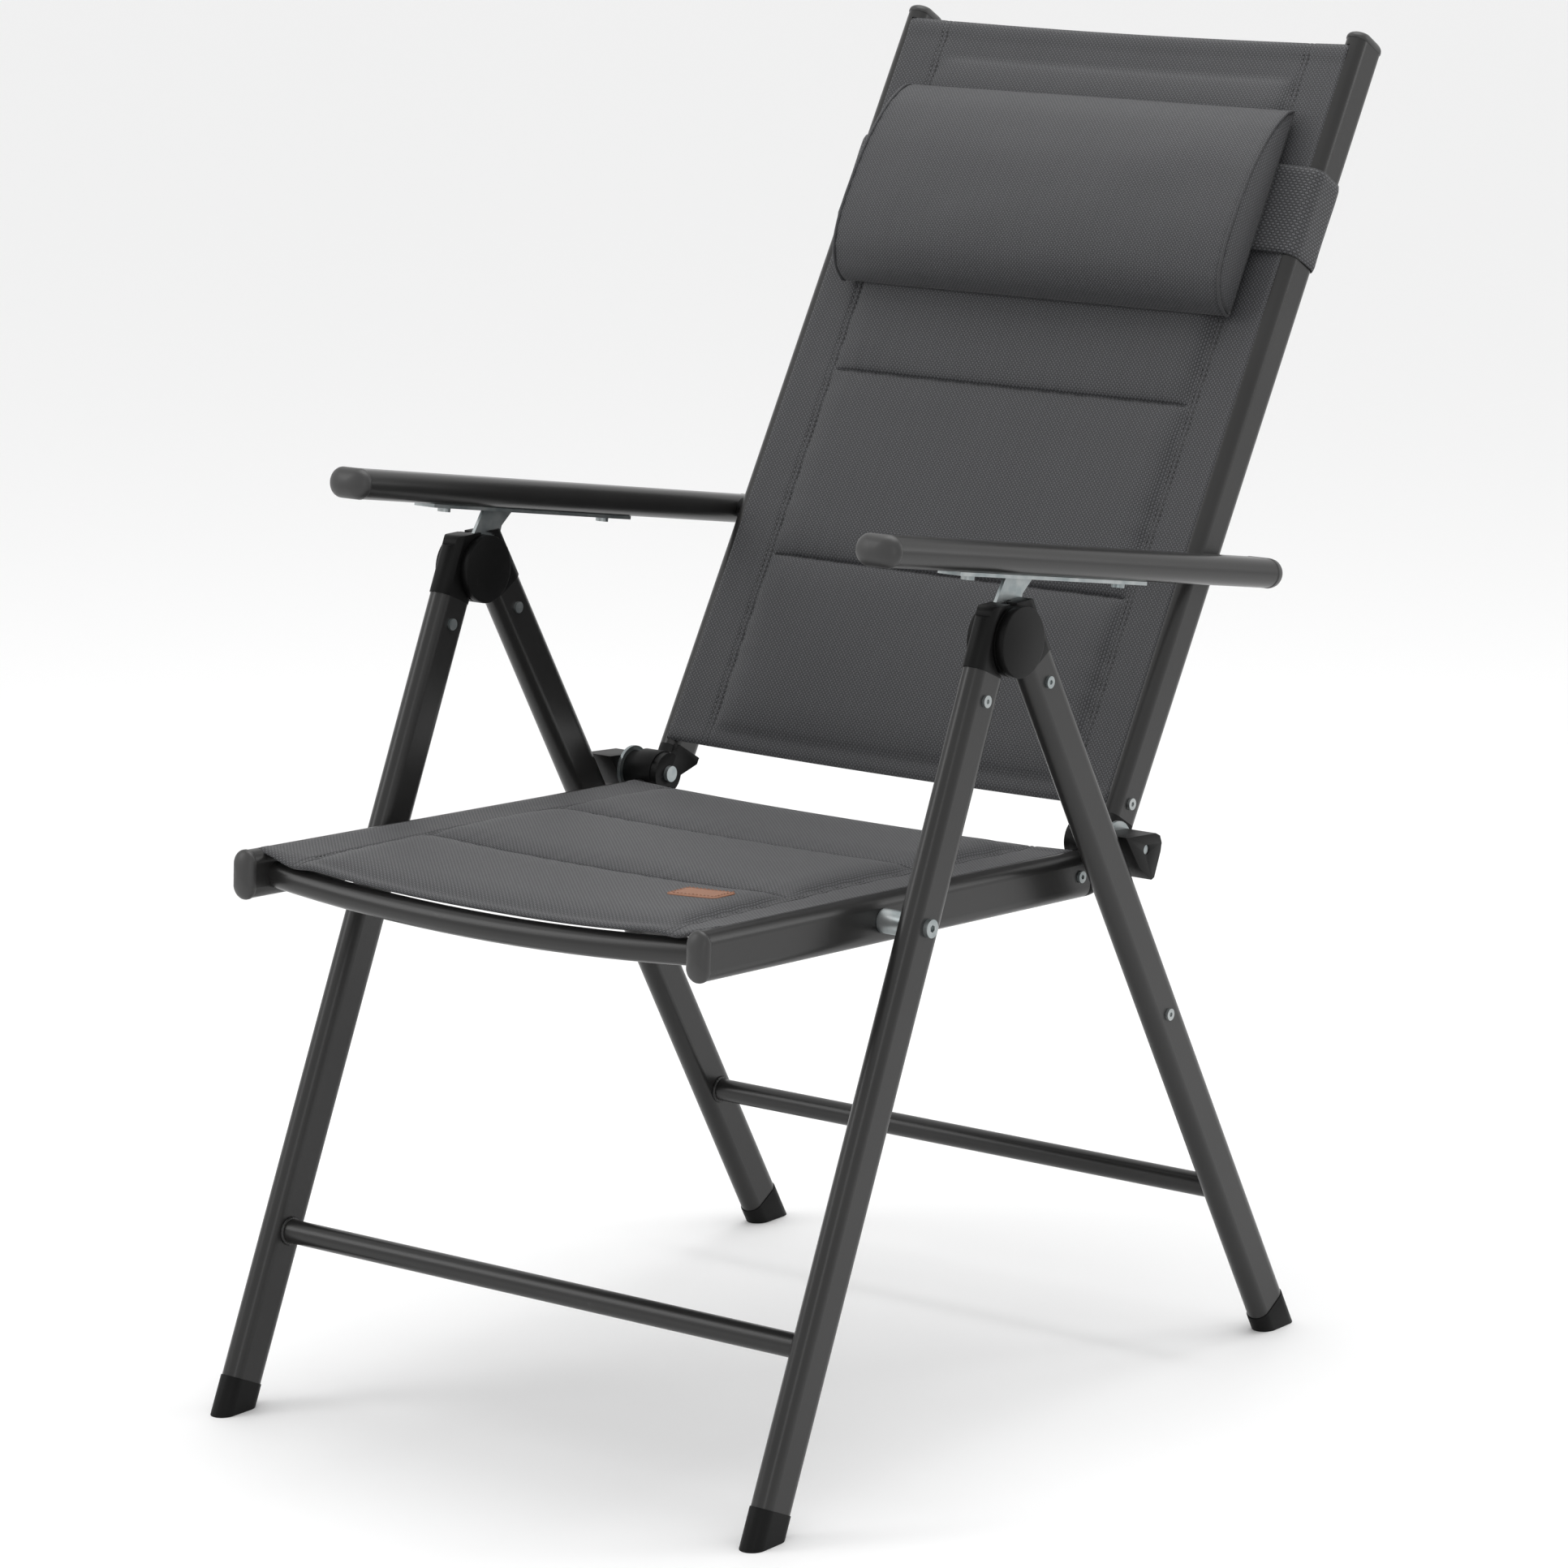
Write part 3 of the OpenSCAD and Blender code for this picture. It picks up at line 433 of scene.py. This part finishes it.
def woven(name, pitch, relief, rib, side=None, **sockets):
    """Woven yarns that run across and along a flat panel's side frame, or else its cloth map."""
    material, g, shader, place = new_material(name, 0.72, **sockets)
    split = g.node("ShaderNodeSeparateXYZ")
    if side is None:
        cloth = g.node("ShaderNodeUVMap", uv_map="cloth")
        g.join(cloth.outputs["UV"], split.inputs[0])
        across, along = split.outputs["X"], split.outputs["Y"]
    else:
        g.join(place, split.inputs[0])
        across = split.outputs["X"]
        along = g.math("ADD", g.math("MULTIPLY", split.outputs["Y"], float(side.along[1])),
                       g.math("MULTIPLY", split.outputs["Z"], float(side.along[2])))
    yarn = use_group(g, WEAVE, Across=g.math("ADD", across, YARN_START),
                     Along=g.math("ADD", along, YARN_START), Pitch=pitch, Rib=rib)
    cloud = g.noise(place, 16.0, 3.0)
    color = g.mix(g.math("MULTIPLY", g.ramp(cloud, 0.3, 0.7), 0.08), YARN_DARK, YARN_LIGHT)
    color = g.mix(g.math("MULTIPLY", yarn["Shade"], 0.75), color, YARN_LIGHT)
    # Painted shade: the colour goes near-black where the yarns dip low between each other
    color = g.mix(yarn["Gap"], color, YARN_GAP_SHADE)
    g.join(color, shader.inputs["Base Color"])
    dull = g.math("SUBTRACT", 0.82, g.math("MULTIPLY", yarn["Height"], 0.3))
    g.join(dull, shader.inputs["Roughness"])
    add_bump(g, shader, yarn["Height"], relief, 0.8)
    return material


TAN_DEEP = (0.2, 0.082, 0.04, 1)
TAN_LIGHT = (0.29, 0.138, 0.078, 1)


def tan_leather():
    material, g, shader, place = new_material("tan_leather", 0.5)
    cells = g.node("ShaderNodeTexVoronoi")
    cells.inputs["Scale"].default_value = 900
    g.join(place, cells.inputs["Vector"])
    cloud = g.noise(place, 130.0, 4.0)
    g.join(g.mix(cloud, TAN_DEEP, TAN_LIGHT), shader.inputs["Base Color"])
    g.join(g.math("ADD", 0.42, g.math("MULTIPLY", cloud, 0.25)), shader.inputs["Roughness"])
    add_bump(g, shader, cells.outputs["Distance"], 0.0002, 0.7)
    return material


def thread():
    material, g, shader, place = new_material("sewing_thread", 0.6)
    twist = g.noise(place, 2500.0, 1.0)
    g.join(g.mix(twist, grey(0.012), grey(0.03)), shader.inputs["Base Color"])
    add_bump(g, shader, twist, 0.0001)
    return material


PAINT = frame_paint()
BLACK = black_plastic()
GREY = grey_plastic()
ZINC = zinc_steel()
SEAT_MESH = woven("seat_mesh", pitch=0.0019, relief=0.0004, rib=0.75, side=seat_side,
                  Sheen_Weight=0.1, Sheen_Roughness=0.5)
BACK_MESH = woven("back_mesh", pitch=0.0019, relief=0.0004, rib=0.9, side=back_side,
                  Sheen_Weight=0.08, Sheen_Roughness=0.5)
PILLOW_CLOTH = woven("pillow_cloth", pitch=0.0017, relief=0.00035, rib=0.9,
                     Sheen_Weight=0.1, Sheen_Roughness=0.5)
STRAP_CLOTH = woven("strap_webbing", pitch=0.0024, relief=0.0005, rib=0.8, Sheen_Weight=0.08)
LEATHER = tan_leather()
THREAD = thread()
SLOT_MATERIAL = {"frame_paint": PAINT, "black_plastic": BLACK, "grey_plastic": GREY,
                 "zinc_steel": ZINC, "mesh_fabric": SEAT_MESH, "pillow_fabric": PILLOW_CLOTH,
                 "strap_fabric": STRAP_CLOTH, "tan_leather": LEATHER}


def dress_cad_nodes():
    """Every node from the frame gets its finish."""
    for part in frame["record"]["subparts"]:
        node = nodes[part["node"]]
        node.data.materials.clear()
        node.data.materials.append(SLOT_MATERIAL[part["material_slot"]])


dress_cad_nodes()

# ---------------------------------------------------------------- padded mesh panels
HEM = 0.014
PAD_X = 0.186
STITCH_ROWS = (PAD_X + 0.0035, PAD_X + 0.0085)
PAD_RISE = 0.0085
# How far in from a tube and from a cross seam the padding takes to reach its full height
SIDE_SHOULDER = 0.028
SEAM_SHOULDER = 0.034
CLOTH_THICK = 0.0032
# The cloth stops just short of each tube's middle
PANEL_HALF = TUBE_X - 0.0006
GRID_STEP = 0.004
GATHER_RISE = 0.0004
HEM_RISE = 0.0008
EDGE_ROUND = 0.0012
SEAM_DEPTH = 0.0016
ROW_DEPTH = 0.0008


def pad_crown(across, along, seams, rise):
    """Height of quilted padding: flat margins, soft shoulders, pinched cross seams."""
    side_run = np.clip((PAD_X - np.abs(across)) / SIDE_SHOULDER, 0, 1)
    height = np.sqrt(1 - (1 - side_run) ** 2)
    field = np.zeros_like(height)
    for low, high in zip(seams, seams[1:]):
        reach = min(SEAM_SHOULDER, (high - low) / 2)
        inside = (along >= low) & (along <= high)
        run = np.clip(np.minimum(along - low, high - along) / reach, 0, 1)
        belly = 0.82 + 0.18 * np.sin(pi * np.clip((along - low) / (high - low), 0, 1))
        field = np.where(inside, np.sqrt(1 - (1 - run) ** 2) * belly, field)
    return rise * height * field


def pucker(across, along, seams, seed):
    """Small gathers that die out away from each seam."""
    total = np.zeros_like(across)
    for seam in seams:
        near = np.exp(-np.abs(along - seam) / 0.016)
        total += near * np.sin(across * 230 + seed + 2.5 * np.sin(across * 61 + seam * 40))
    edge = np.exp(-np.abs(np.abs(across) - PAD_X) / 0.014)
    total += edge * np.sin(along * 190 + seed + 2 * np.sin(along * 47))
    return total


def close_lines(low, high, step, marks):
    """Evenly spaced places, with a few more beside each mark."""
    lines = list(np.linspace(low, high, int((high - low) / step)))
    for mark in marks:
        lines += [mark + k * 0.0009 for k in range(-3, 4)]
    lines = np.unique(np.round(lines, 5))
    keep = np.concatenate([[True], np.diff(lines) > 0.0004])
    keep[-1] = True
    return lines[keep]


def grooves(across, along, seams):
    """Depth of the thread lines pulled into the cloth."""
    depth = np.zeros_like(across)
    inside = smooth_step((PAD_X + 0.003 - np.abs(across)) / 0.006)
    for seam in seams[1:-1]:
        depth += SEAM_DEPTH * inside * np.exp(-((along - seam) / 0.0016) ** 2)
    for line in STITCH_ROWS:
        depth += ROW_DEPTH * np.exp(-((np.abs(across) - line) / 0.0012) ** 2)
    return depth


def panel(name, side, span, seams, face, sag, material, replaced, body, seed):
    """A sling with quilted padding; face is +1 where its upper side faces +o.

    It returns the height of that side, for what is sewn on it.
    """
    both_rows = [sign * x for sign in (-1, 1) for x in STITCH_ROWS]
    widths = close_lines(-PANEL_HALF, PANEL_HALF, GRID_STEP, both_rows)
    lengths = close_lines(span[0], span[1], GRID_STEP, seams[1:-1])
    across, along = np.meshgrid(widths, lengths)
    crown = pad_crown(across, along, seams, PAD_RISE)
    folds = pucker(across, along, seams[1:-1], seed) * GATHER_RISE
    folds *= np.clip((PANEL_HALF - np.abs(across)) / 0.03, 0, 1)
    edge = np.minimum(along - span[0], span[1] - along)
    hem = HEM_RISE * smooth_step((edge - 0.0005) / 0.002) * (1 - smooth_step((edge - HEM) / 0.002))
    rim = EDGE_ROUND * (1 - smooth_step(edge / 0.002))
    middle = sag(across, along)
    top = TUBE_HALF + crown + folds + hem - rim + middle - grooves(across, along, seams)
    under = TUBE_HALF - CLOTH_THICK - 0.45 * crown - hem + rim + middle
    verts = np.vstack([side.many(across, along, face * o).reshape(-1, 3) for o in (top, under)])
    faces = sheet_faces(len(lengths), len(widths))
    piece = new_piece(name, verts, faces, material, body)
    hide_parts(*replaced)

    def surface(x, a):
        """Height of the upper side at one place."""
        xs, alongs = np.array([[x]]), np.array([[a]])
        height = TUBE_HALF + pad_crown(xs, alongs, seams, PAD_RISE) + sag(xs, alongs)
        return float((height - grooves(xs, alongs, seams))[0, 0])

    return surface


SEAT_SPAN = (-0.280, 0.209)
SEAT_SEAMS = (-0.266, -0.118, 0.052, 0.195)
BACK_SPAN = (0.032, 0.738)
BACK_SEAMS = (0.048, 0.215, 0.393, 0.700)


def seat_sag(across, along):
    """The seat follows its bowed front bar and droops at the two front corners."""
    bow = 1 - np.abs(across / TUBE_X) ** 2.5
    front = smooth_step((along + 0.05) / (SEAT_SPAN[1] + 0.05))
    corner = np.exp(-((np.abs(across) - 0.198) / 0.016) ** 2)
    droop = 0.004 * corner * smooth_step((along - SEAT_SPAN[1] + 0.022) / 0.02)
    return -bow * (0.004 + 0.0105 * front) - droop


def back_sag(across, along):
    """The back hollows a little, and more at its two free ends."""
    bow = 1 - (across / TUBE_X) ** 2
    ends = np.exp(-(BACK_SPAN[1] - along) / 0.05) + np.exp(-(along - BACK_SPAN[0]) / 0.05)
    return -bow * (0.003 + 0.004 * ends)


seat_top = panel("seat_panel", seat_side, SEAT_SPAN, SEAT_SEAMS, 1, seat_sag, SEAT_MESH,
                 ("seat_sling", "seat_padding"), "seat", 1.0)
back_top = panel("back_panel", back_side, BACK_SPAN, BACK_SEAMS, -1, back_sag, BACK_MESH,
                 ("back_sling", "back_padding"), "back", 4.0)

# ---------------------------------------------------------------- stitching
THREAD_SIDES = 6
# Rings along one stitch: share of its length, lift off the cloth, share of its radius
STITCH_RINGS = ((0, -0.0003, 0.5), (0.25, 0.0003, 1), (0.75, 0.0003, 1), (1, -0.0003, 0.5))


def stitches(name, runs, body, material=THREAD, length=0.0032, gap=0.0018, radius=0.00038):
    """Rows of short raised threads along lists of points with the outward normal."""
    verts, faces = [], []
    turns = [2 * pi * k / THREAD_SIDES for k in range(THREAD_SIDES)]
    for points, normal in runs:
        points = [Vector(p) for p in points]
        normal = Vector(normal).normalized()
        carried = 0.0
        for a, b in zip(points, points[1:]):
            run = (b - a).length
            way = (b - a).normalized()
            across = way.cross(normal).normalized()
            at = carried
            while at + length < run:
                start = len(verts)
                for share, lift, wide in STITCH_RINGS:
                    middle = a + way * (at + share * length) + normal * lift
                    verts += [middle + across * (radius * wide * cos(turn))
                              + normal * (radius * wide * sin(turn)) for turn in turns]
                for ring in range(len(STITCH_RINGS) - 1):
                    low = start + ring * THREAD_SIDES
                    faces += ring_faces(low, low + THREAD_SIDES, THREAD_SIDES)
                faces.append(tuple(range(start + THREAD_SIDES - 1, start - 1, -1)))
                faces.append(tuple(range(len(verts) - THREAD_SIDES, len(verts))))
                at += length + gap
            carried = at - run
    new_piece(name, verts, faces, material, body)


def panel_runs(side, surface, span, seams, face):
    """Two rows of stitches inside each tube, hems at both ends, and the cross seams."""
    normal = face * side.out
    runs = []

    def row(points):
        runs.append(([side.at(x, a, face * surface(x, a)) for x, a in points], normal))

    def fine(low, high):
        return np.linspace(low, high, 40)

    for sign in (-1, 1):
        for x in STITCH_ROWS:
            row([(sign * x, a) for a in fine(span[0] + 0.004, span[1] - 0.004)])
    for a in (span[0] + HEM - 0.002, span[1] - HEM + 0.002):
        row([(x, a) for x in fine(-0.222, 0.222)])
    for a in seams[1:-1]:
        row([(x, a) for x in fine(-PAD_X, PAD_X)])
    return runs


stitches("seat_stitching", panel_runs(seat_side, seat_top, SEAT_SPAN, SEAT_SEAMS, 1), "seat")
stitches("back_stitching", panel_runs(back_side, back_top, BACK_SPAN, BACK_SEAMS, -1), "back")

# ---------------------------------------------------------------- blank leather patch
# Its middle and half length along the seat
PATCH_MIDDLE = 0.103
PATCH_HALF = 0.015
PATCH_THICK = 0.0013
PATCH_HEM = 0.003
PATCH_GRID = (16, 26)


def leather_patch():
    """A blank leather rectangle with rounded corners, sewn on the seat."""
    low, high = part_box("seat_patch")
    middle_x, half_x = (low.x + high.x) / 2, (high.x - low.x) / 2
    rows, cols = PATCH_GRID
    verts = []
    for layer in (1, 0):
        for i in range(rows):
            for j in range(cols):
                u, v = 2 * j / (cols - 1) - 1, 2 * i / (rows - 1) - 1
                corner = max(abs(u), 0.86) - 0.86, max(abs(v), 0.8) - 0.8
                shrink = 1 - 0.6 * min(corner)
                x, a = middle_x + u * half_x * shrink, PATCH_MIDDLE + v * PATCH_HALF * shrink
                edge = min(1 - abs(u), 1 - abs(v))
                thick = PATCH_THICK * (0.6 + 0.4 * min(1, edge / 0.12))
                verts.append(seat_side.at(x, a, seat_top(x, a) + layer * thick - 0.0002))
    faces = sheet_faces(rows, cols)
    patch = new_piece("leather_patch", verts, faces, LEATHER, "seat")
    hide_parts("seat_patch")
    corners = [(-1, -1), (1, -1), (1, 1), (-1, 1), (-1, -1)]
    ring = [(middle_x + u * (half_x - PATCH_HEM), PATCH_MIDDLE + v * (PATCH_HALF - PATCH_HEM))
            for u, v in corners]
    points = [seat_side.at(x, a, seat_top(x, a) + PATCH_THICK) for x, a in ring]
    stitches("patch_stitching", [(points, seat_side.out)], "seat", LEATHER, 0.0024,
             0.0014, 0.0003)


leather_patch()

# ---------------------------------------------------------------- head pillow
PILLOW_HALF = 0.204
PILLOW_BACK = 0.0272
PILLOW_CENTRE = np.array([0.565, 0.017])
PILLOW_SWELL = 0.26
PIPING_RADIUS = 0.0014
# The ends puff out by this much, in rings that shrink to the middle
END_PUFF = 0.0045
END_RINGS = (0.93, 0.78, 0.55, 0.28)
# Side view of the pillow's front: height along the back, depth in front of its flat back
PILLOW_FRONT = ((0.6685, 0.0), (0.660, 0.010), (0.637, 0.0225), (0.600, 0.0325), (0.560, 0.0365),
                (0.524, 0.0365), (0.497, 0.031), (0.481, 0.0195), (0.4745, 0.006), (0.4745, 0.0))


def smooth_line(points, per):
    """Catmull-Rom curve through points."""
    points = [np.array(p, float) for p in points]
    points = [2 * points[0] - points[1]] + points + [2 * points[-1] - points[-2]]
    line = []
    for a, b, c, d in zip(points, points[1:], points[2:], points[3:]):
        for k in range(per):
            t = k / per
            line.append(0.5 * (2 * b + (c - a) * t + (2 * a - 5 * b + 4 * c - d) * t * t
                               + (3 * b - a - 3 * c + d) * t ** 3))
    line.append(points[-2])
    return line


def write_cloth_map(piece, uvs):
    layer = piece.data.uv_layers.new(name="cloth")
    for loop in piece.data.loops:
        layer.data[loop.index].uv = uvs[loop.vertex_index]


def pillow_outline():
    """Closed side view: the round front, then the flat back."""
    front = smooth_line(PILLOW_FRONT, 7)
    back = [np.array([a, 0.0]) for a in np.linspace(front[-1][0], front[0][0], 22)[1:-1]]
    return np.array(front + back)


def pillow():
    outline = pillow_outline()
    count = len(outline)
    girth = np.concatenate([[0], np.cumsum(np.linalg.norm(np.diff(outline, axis=0), axis=1))])
    stations = np.concatenate([[-1], -1 + np.array([0.004, 0.014]), np.linspace(-0.97, 0.97, 66),
                               1 - np.array([0.014, 0.004]), [1]])
    verts, uvs = [], []
    for u in stations:
        swell = 1 + PILLOW_SWELL * (1 - abs(u) ** 2.6)
        tuck = 1 - 0.035 * smooth_step((abs(u) - 0.985) / 0.015)
        ring = PILLOW_CENTRE + (outline - PILLOW_CENTRE) * tuck
        x = u * PILLOW_HALF
        for k in range(count):
            a, depth = ring[k]
            front = min(1, depth / 0.01)
            ripple = 0.0009 * noise.noise(Vector((x * 14, a * 22, 3.0))) * front
            gather = np.exp(-(1 - abs(u)) / 0.03) * 0.0005 * sin(girth[k] * 420) * front
            depth = max(depth, 0) * swell + ripple + gather
            verts.append(back_side.at(x, a, -PILLOW_BACK - depth))
            uvs.append((x, girth[k]))
    last = (len(stations) - 1) * count
    faces = []
    for start in range(0, last, count):
        faces += ring_faces(start, start + count, count)
    for sign, before in ((-1, 0), (1, last)):
        for scale in END_RINGS:
            start = len(verts)
            x = sign * (PILLOW_HALF + END_PUFF * (1 - scale ** 3))
            for a, depth in PILLOW_CENTRE + (outline - PILLOW_CENTRE) * scale:
                verts.append(back_side.at(x, a, -PILLOW_BACK - max(depth, 0)))
                uvs.append((depth, a))
            faces += ring_faces(before, start, count)
            before = start
        hub = len(verts)
        verts.append(back_side.at(sign * (PILLOW_HALF + END_PUFF + 0.0001), PILLOW_CENTRE[0],
                                  -PILLOW_BACK - PILLOW_CENTRE[1]))
        uvs.append((PILLOW_CENTRE[1], PILLOW_CENTRE[0]))
        faces += [(before + k, before + (k + 1) % count, hub) for k in range(count)]
    piece = new_piece("head_pillow_cover", verts, faces, PILLOW_CLOTH, "back")
    write_cloth_map(piece, uvs)
    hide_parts("head_pillow")
    for sign, label in ((-1, "right"), (1, "left")):
        ring = [back_side.at(sign * (PILLOW_HALF - 0.0005), a, -PILLOW_BACK - depth)
                for a, depth in outline]
        piping("pillow_piping_" + label, ring, PIPING_RADIUS, "back")


def piping(name, ring, radius, body):
    """A closed round cord along a ring of points, all at one x."""
    ring = [Vector(p) for p in ring]
    count, sides = len(ring), 8
    across = Vector((1, 0, 0))
    verts, uvs, faces = [], [], []
    for i, point in enumerate(ring):
        way = (ring[(i + 1) % count] - ring[i - 1]).normalized()
        out = way.cross(across).normalized()
        for k in range(sides):
            turn = 2 * pi * k / sides
            verts.append(point + across * (radius * cos(turn)) + out * (radius * sin(turn)))
            uvs.append((0.002 * k, 0.004 * i))
        faces += ring_faces(i * sides, (i + 1) % count * sides, sides)
    piece = new_piece(name, verts, faces, PILLOW_CLOTH, body)
    write_cloth_map(piece, uvs)


pillow()

# ---------------------------------------------------------------- pillow strap
STRAP_HALF = 0.040
STRAP_MID = 0.5795
STRAP_THICK = 0.0016
STRAP_GAP = 0.0007
STRAP_ACROSS = 21


def strap_path():
    """Cross section of the band from the left end of the pillow round both tubes, as (x, o)."""
    reach = TUBE_ROUND + STRAP_GAP
    top = TUBE_HALF + STRAP_GAP
    turns = [k * pi / 16 for k in range(9)]
    points = [(0.176, -0.0278), (0.190, -0.0262), (0.206, -0.0232), (0.222, -top - 0.0008)]
    points += [(TUBE_X + reach * sin(turn), -(top - reach) - reach * cos(turn)) for turn in turns]
    points += [(TUBE_X + reach * cos(turn), (top - reach) + reach * sin(turn)) for turn in turns]
    points += [(0.20, top - 0.0012), (0.12, top - 0.003), (0.04, top - 0.0042)]
    return points + [(-x, o) for x, o in reversed(points)]


def strap():
    path = [np.array(p) for p in strap_path()]
    run = [0.0]
    for a, b in zip(path, path[1:]):
        run.append(run[-1] + float(np.linalg.norm(b - a)))
    widths = np.linspace(-1, 1, STRAP_ACROSS)
    verts, uvs = [], []
    for layer in (1, 0):
        for i, point in enumerate(path):
            way = path[min(i + 1, len(path) - 1)] - path[max(i - 1, 0)]
            way = way / np.linalg.norm(way)
            out = np.array([way[1], -way[0]])
            flare = 1 + 0.012 * sin(run[i] * 35)
            for w in widths:
                edge = float(smooth_step(np.array((1 - abs(w)) / 0.08)))
                wave = 0.0004 * sin(run[i] * 120 + w * 4) * abs(w)
                x, o = point + out * (layer * STRAP_THICK * (0.45 + 0.55 * edge) + wave)
                verts.append(back_side.at(x, STRAP_MID + w * STRAP_HALF * flare, o))
                uvs.append((w * STRAP_HALF, run[i]))
    faces = sheet_faces(len(path), STRAP_ACROSS)
    piece = new_piece("pillow_strap", verts, faces, STRAP_CLOTH, "back")
    write_cloth_map(piece, uvs)
    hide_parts("strap_rear_band", "strap_wraps")


strap()

# ---------------------------------------------------------------- plastic end caps
# Cap: width along x, height off the tube, how far the dome bulges, and its straight rim
TUBE_CAP = (0.0212, 0.0412, 0.0095, 0.0022)
ARM_FRONT_CAP = (0.0431, 0.0261, 0.0115, 0.0015)
ARM_REAR_CAP = (0.0427, 0.0257, 0.0185, 0.002)
SEAT_END = 0.221
BACK_END = 0.745
ARM_FRONT_END = 0.5058
ARM_REAR_END = -0.036
CAP_STEPS = 40


def dome(verts, faces, side, x, a, way, width, height, bulge, rim):
    """A rounded cap on an oval tube end; way is +1 where it points along the tube's own a."""
    radius = min(width, height) / 2
    ring = []
    for k in range(CAP_STEPS):
        turn = 2 * pi * k / CAP_STEPS
        cx = (width / 2 - radius) * (1 if cos(turn) > 0 else -1) if width > height else 0
        co = (height / 2 - radius) * (1 if sin(turn) > 0 else -1) if height > width else 0
        ring.append((cx + radius * cos(turn), co + radius * sin(turn)))
    first = len(verts)
    levels = [(0.0, 0.97), (0.0004, 1.0), (rim, 1.0)]
    for k in range(1, 9):
        turn = k * pi / 18
        levels.append((rim + (bulge - rim) * sin(turn), cos(turn) ** 0.9))
    levels.append((bulge, 0.1))
    for up, scale in levels:
        verts += [side.at(x + px * scale, a + way * up, po * scale) for px, po in ring]
    last = first + (len(levels) - 1) * CAP_STEPS
    for start in range(first, last, CAP_STEPS):
        faces += ring_faces(start, start + CAP_STEPS, CAP_STEPS)
    faces.append(tuple(range(first, first + CAP_STEPS)))
    faces.append(tuple(range(last + CAP_STEPS - 1, last - 1, -1)))


def end_caps(name, side, tube_x, ends, node, body):
    """Caps on both sides of the chair; ends are (place along the tube, way, cap)."""
    verts, faces = [], []
    for a, way, cap in ends:
        for sign in (-1, 1):
            dome(verts, faces, side, sign * tube_x, a, way, *cap)
    piece = new_piece(name, verts, faces, GREY, body)
    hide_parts(node)


end_caps("seat_end_caps", seat_side, TUBE_X, [(SEAT_END, 1, TUBE_CAP)], "seat_caps", "seat")
end_caps("back_end_caps", back_side, TUBE_X, [(BACK_END, 1, TUBE_CAP)], "back_caps", "back")
end_caps("arm_end_caps", arm_side, ARM_X,
         [(ARM_FRONT_END, 1, ARM_FRONT_CAP), (ARM_REAR_END, -1, ARM_REAR_CAP)], "arm_caps", "arms")

# ---------------------------------------------------------------- rounded mouldings
# Moulding on each side of the chair: edge radius and body
MOULDINGS = {
    "front_head": (0.0016, "front_legs"),
    "rear_head": (0.0016, "rear_legs"),
    "seat_plug": (0.0012, "seat"),
    "back_plug": (0.0012, "back"),
    "hook": (0.0018, "seat"),
    "front_foot": (0.0016, "front_legs"),
    "rear_foot": (0.0016, "rear_legs"),
}
COVER_EDGE = 0.0014
BEVEL_FROM = radians(35)
SHARP_FROM = radians(32)
FLAT_WITHIN = radians(1.5)


def rounded(node, width, body):
    """A moulded copy of a plastic node with its edges rounded."""
    mesh = nodes[node].data.copy()
    mesh.name = node + "_moulding"
    piece = bpy.data.objects.new(node + "_moulding", mesh)
    bpy.context.scene.collection.objects.link(piece)
    tidy = bmesh.new()
    tidy.from_mesh(mesh)
    bmesh.ops.remove_doubles(tidy, verts=tidy.verts, dist=1e-5)
    bmesh.ops.dissolve_limit(tidy, angle_limit=FLAT_WITHIN, verts=tidy.verts, edges=tidy.edges)
    tidy.to_mesh(mesh)
    tidy.free()
    bevel = piece.modifiers.new("edge", "BEVEL")
    bevel.width = width
    bevel.segments = 2
    bevel.limit_method = "ANGLE"
    bevel.angle_limit = BEVEL_FROM
    bevel.use_clamp_overlap = True
    bevel.harden_normals = False
    apply_modifiers(piece)
    for polygon in piece.data.polygons:
        polygon.use_smooth = True
    piece.data.set_sharp_from_angle(angle=SHARP_FROM)
    piece.data.materials.clear()
    piece.data.materials.append(BLACK)
    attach(piece, body)
    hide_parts(node)


for hand in ("left", "right"):
    for part, (width, body) in MOULDINGS.items():
        rounded(f"{hand}_{part}", width, body)
rounded("inner_head_covers", COVER_EDGE, "front_legs")
rounded("outer_head_covers", COVER_EDGE, "rear_legs")

# ---------------------------------------------------------------- welds
WELD_RADIUS = 0.0103
WELD_RINGS, WELD_SIDES = 64, 8


def bar_end(node, sign):
    low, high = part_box(node)
    return (sign * high.x, (low.y + high.y) / 2, (low.z + high.z) / 2)


def welds(bar, body):
    """Rippled weld beads round both ends of a stretcher."""
    verts, faces = [], []
    for sign in (-1, 1):
        end_x, end_y, end_z = bar_end(bar, sign)
        first = len(verts)
        for i in range(WELD_RINGS):
            turn = 2 * pi * i / WELD_RINGS
            bead = 0.0022 + 0.0004 * sin(turn * 23)
            for k in range(WELD_SIDES):
                angle = 2 * pi * k / WELD_SIDES
                out = WELD_RADIUS + bead * cos(angle) * 0.8
                x = end_x - sign * (0.0006 + bead * sin(angle) * 0.8)
                verts.append((x, end_y + out * cos(turn), end_z + out * sin(turn)))
            faces += ring_faces(first + i * WELD_SIDES, first + (i + 1) % WELD_RINGS * WELD_SIDES,
                                WELD_SIDES)
    new_piece(bar + "_welds", verts, faces, PAINT, body)


welds("front_stretcher", "front_legs")
welds("rear_stretcher", "rear_legs")
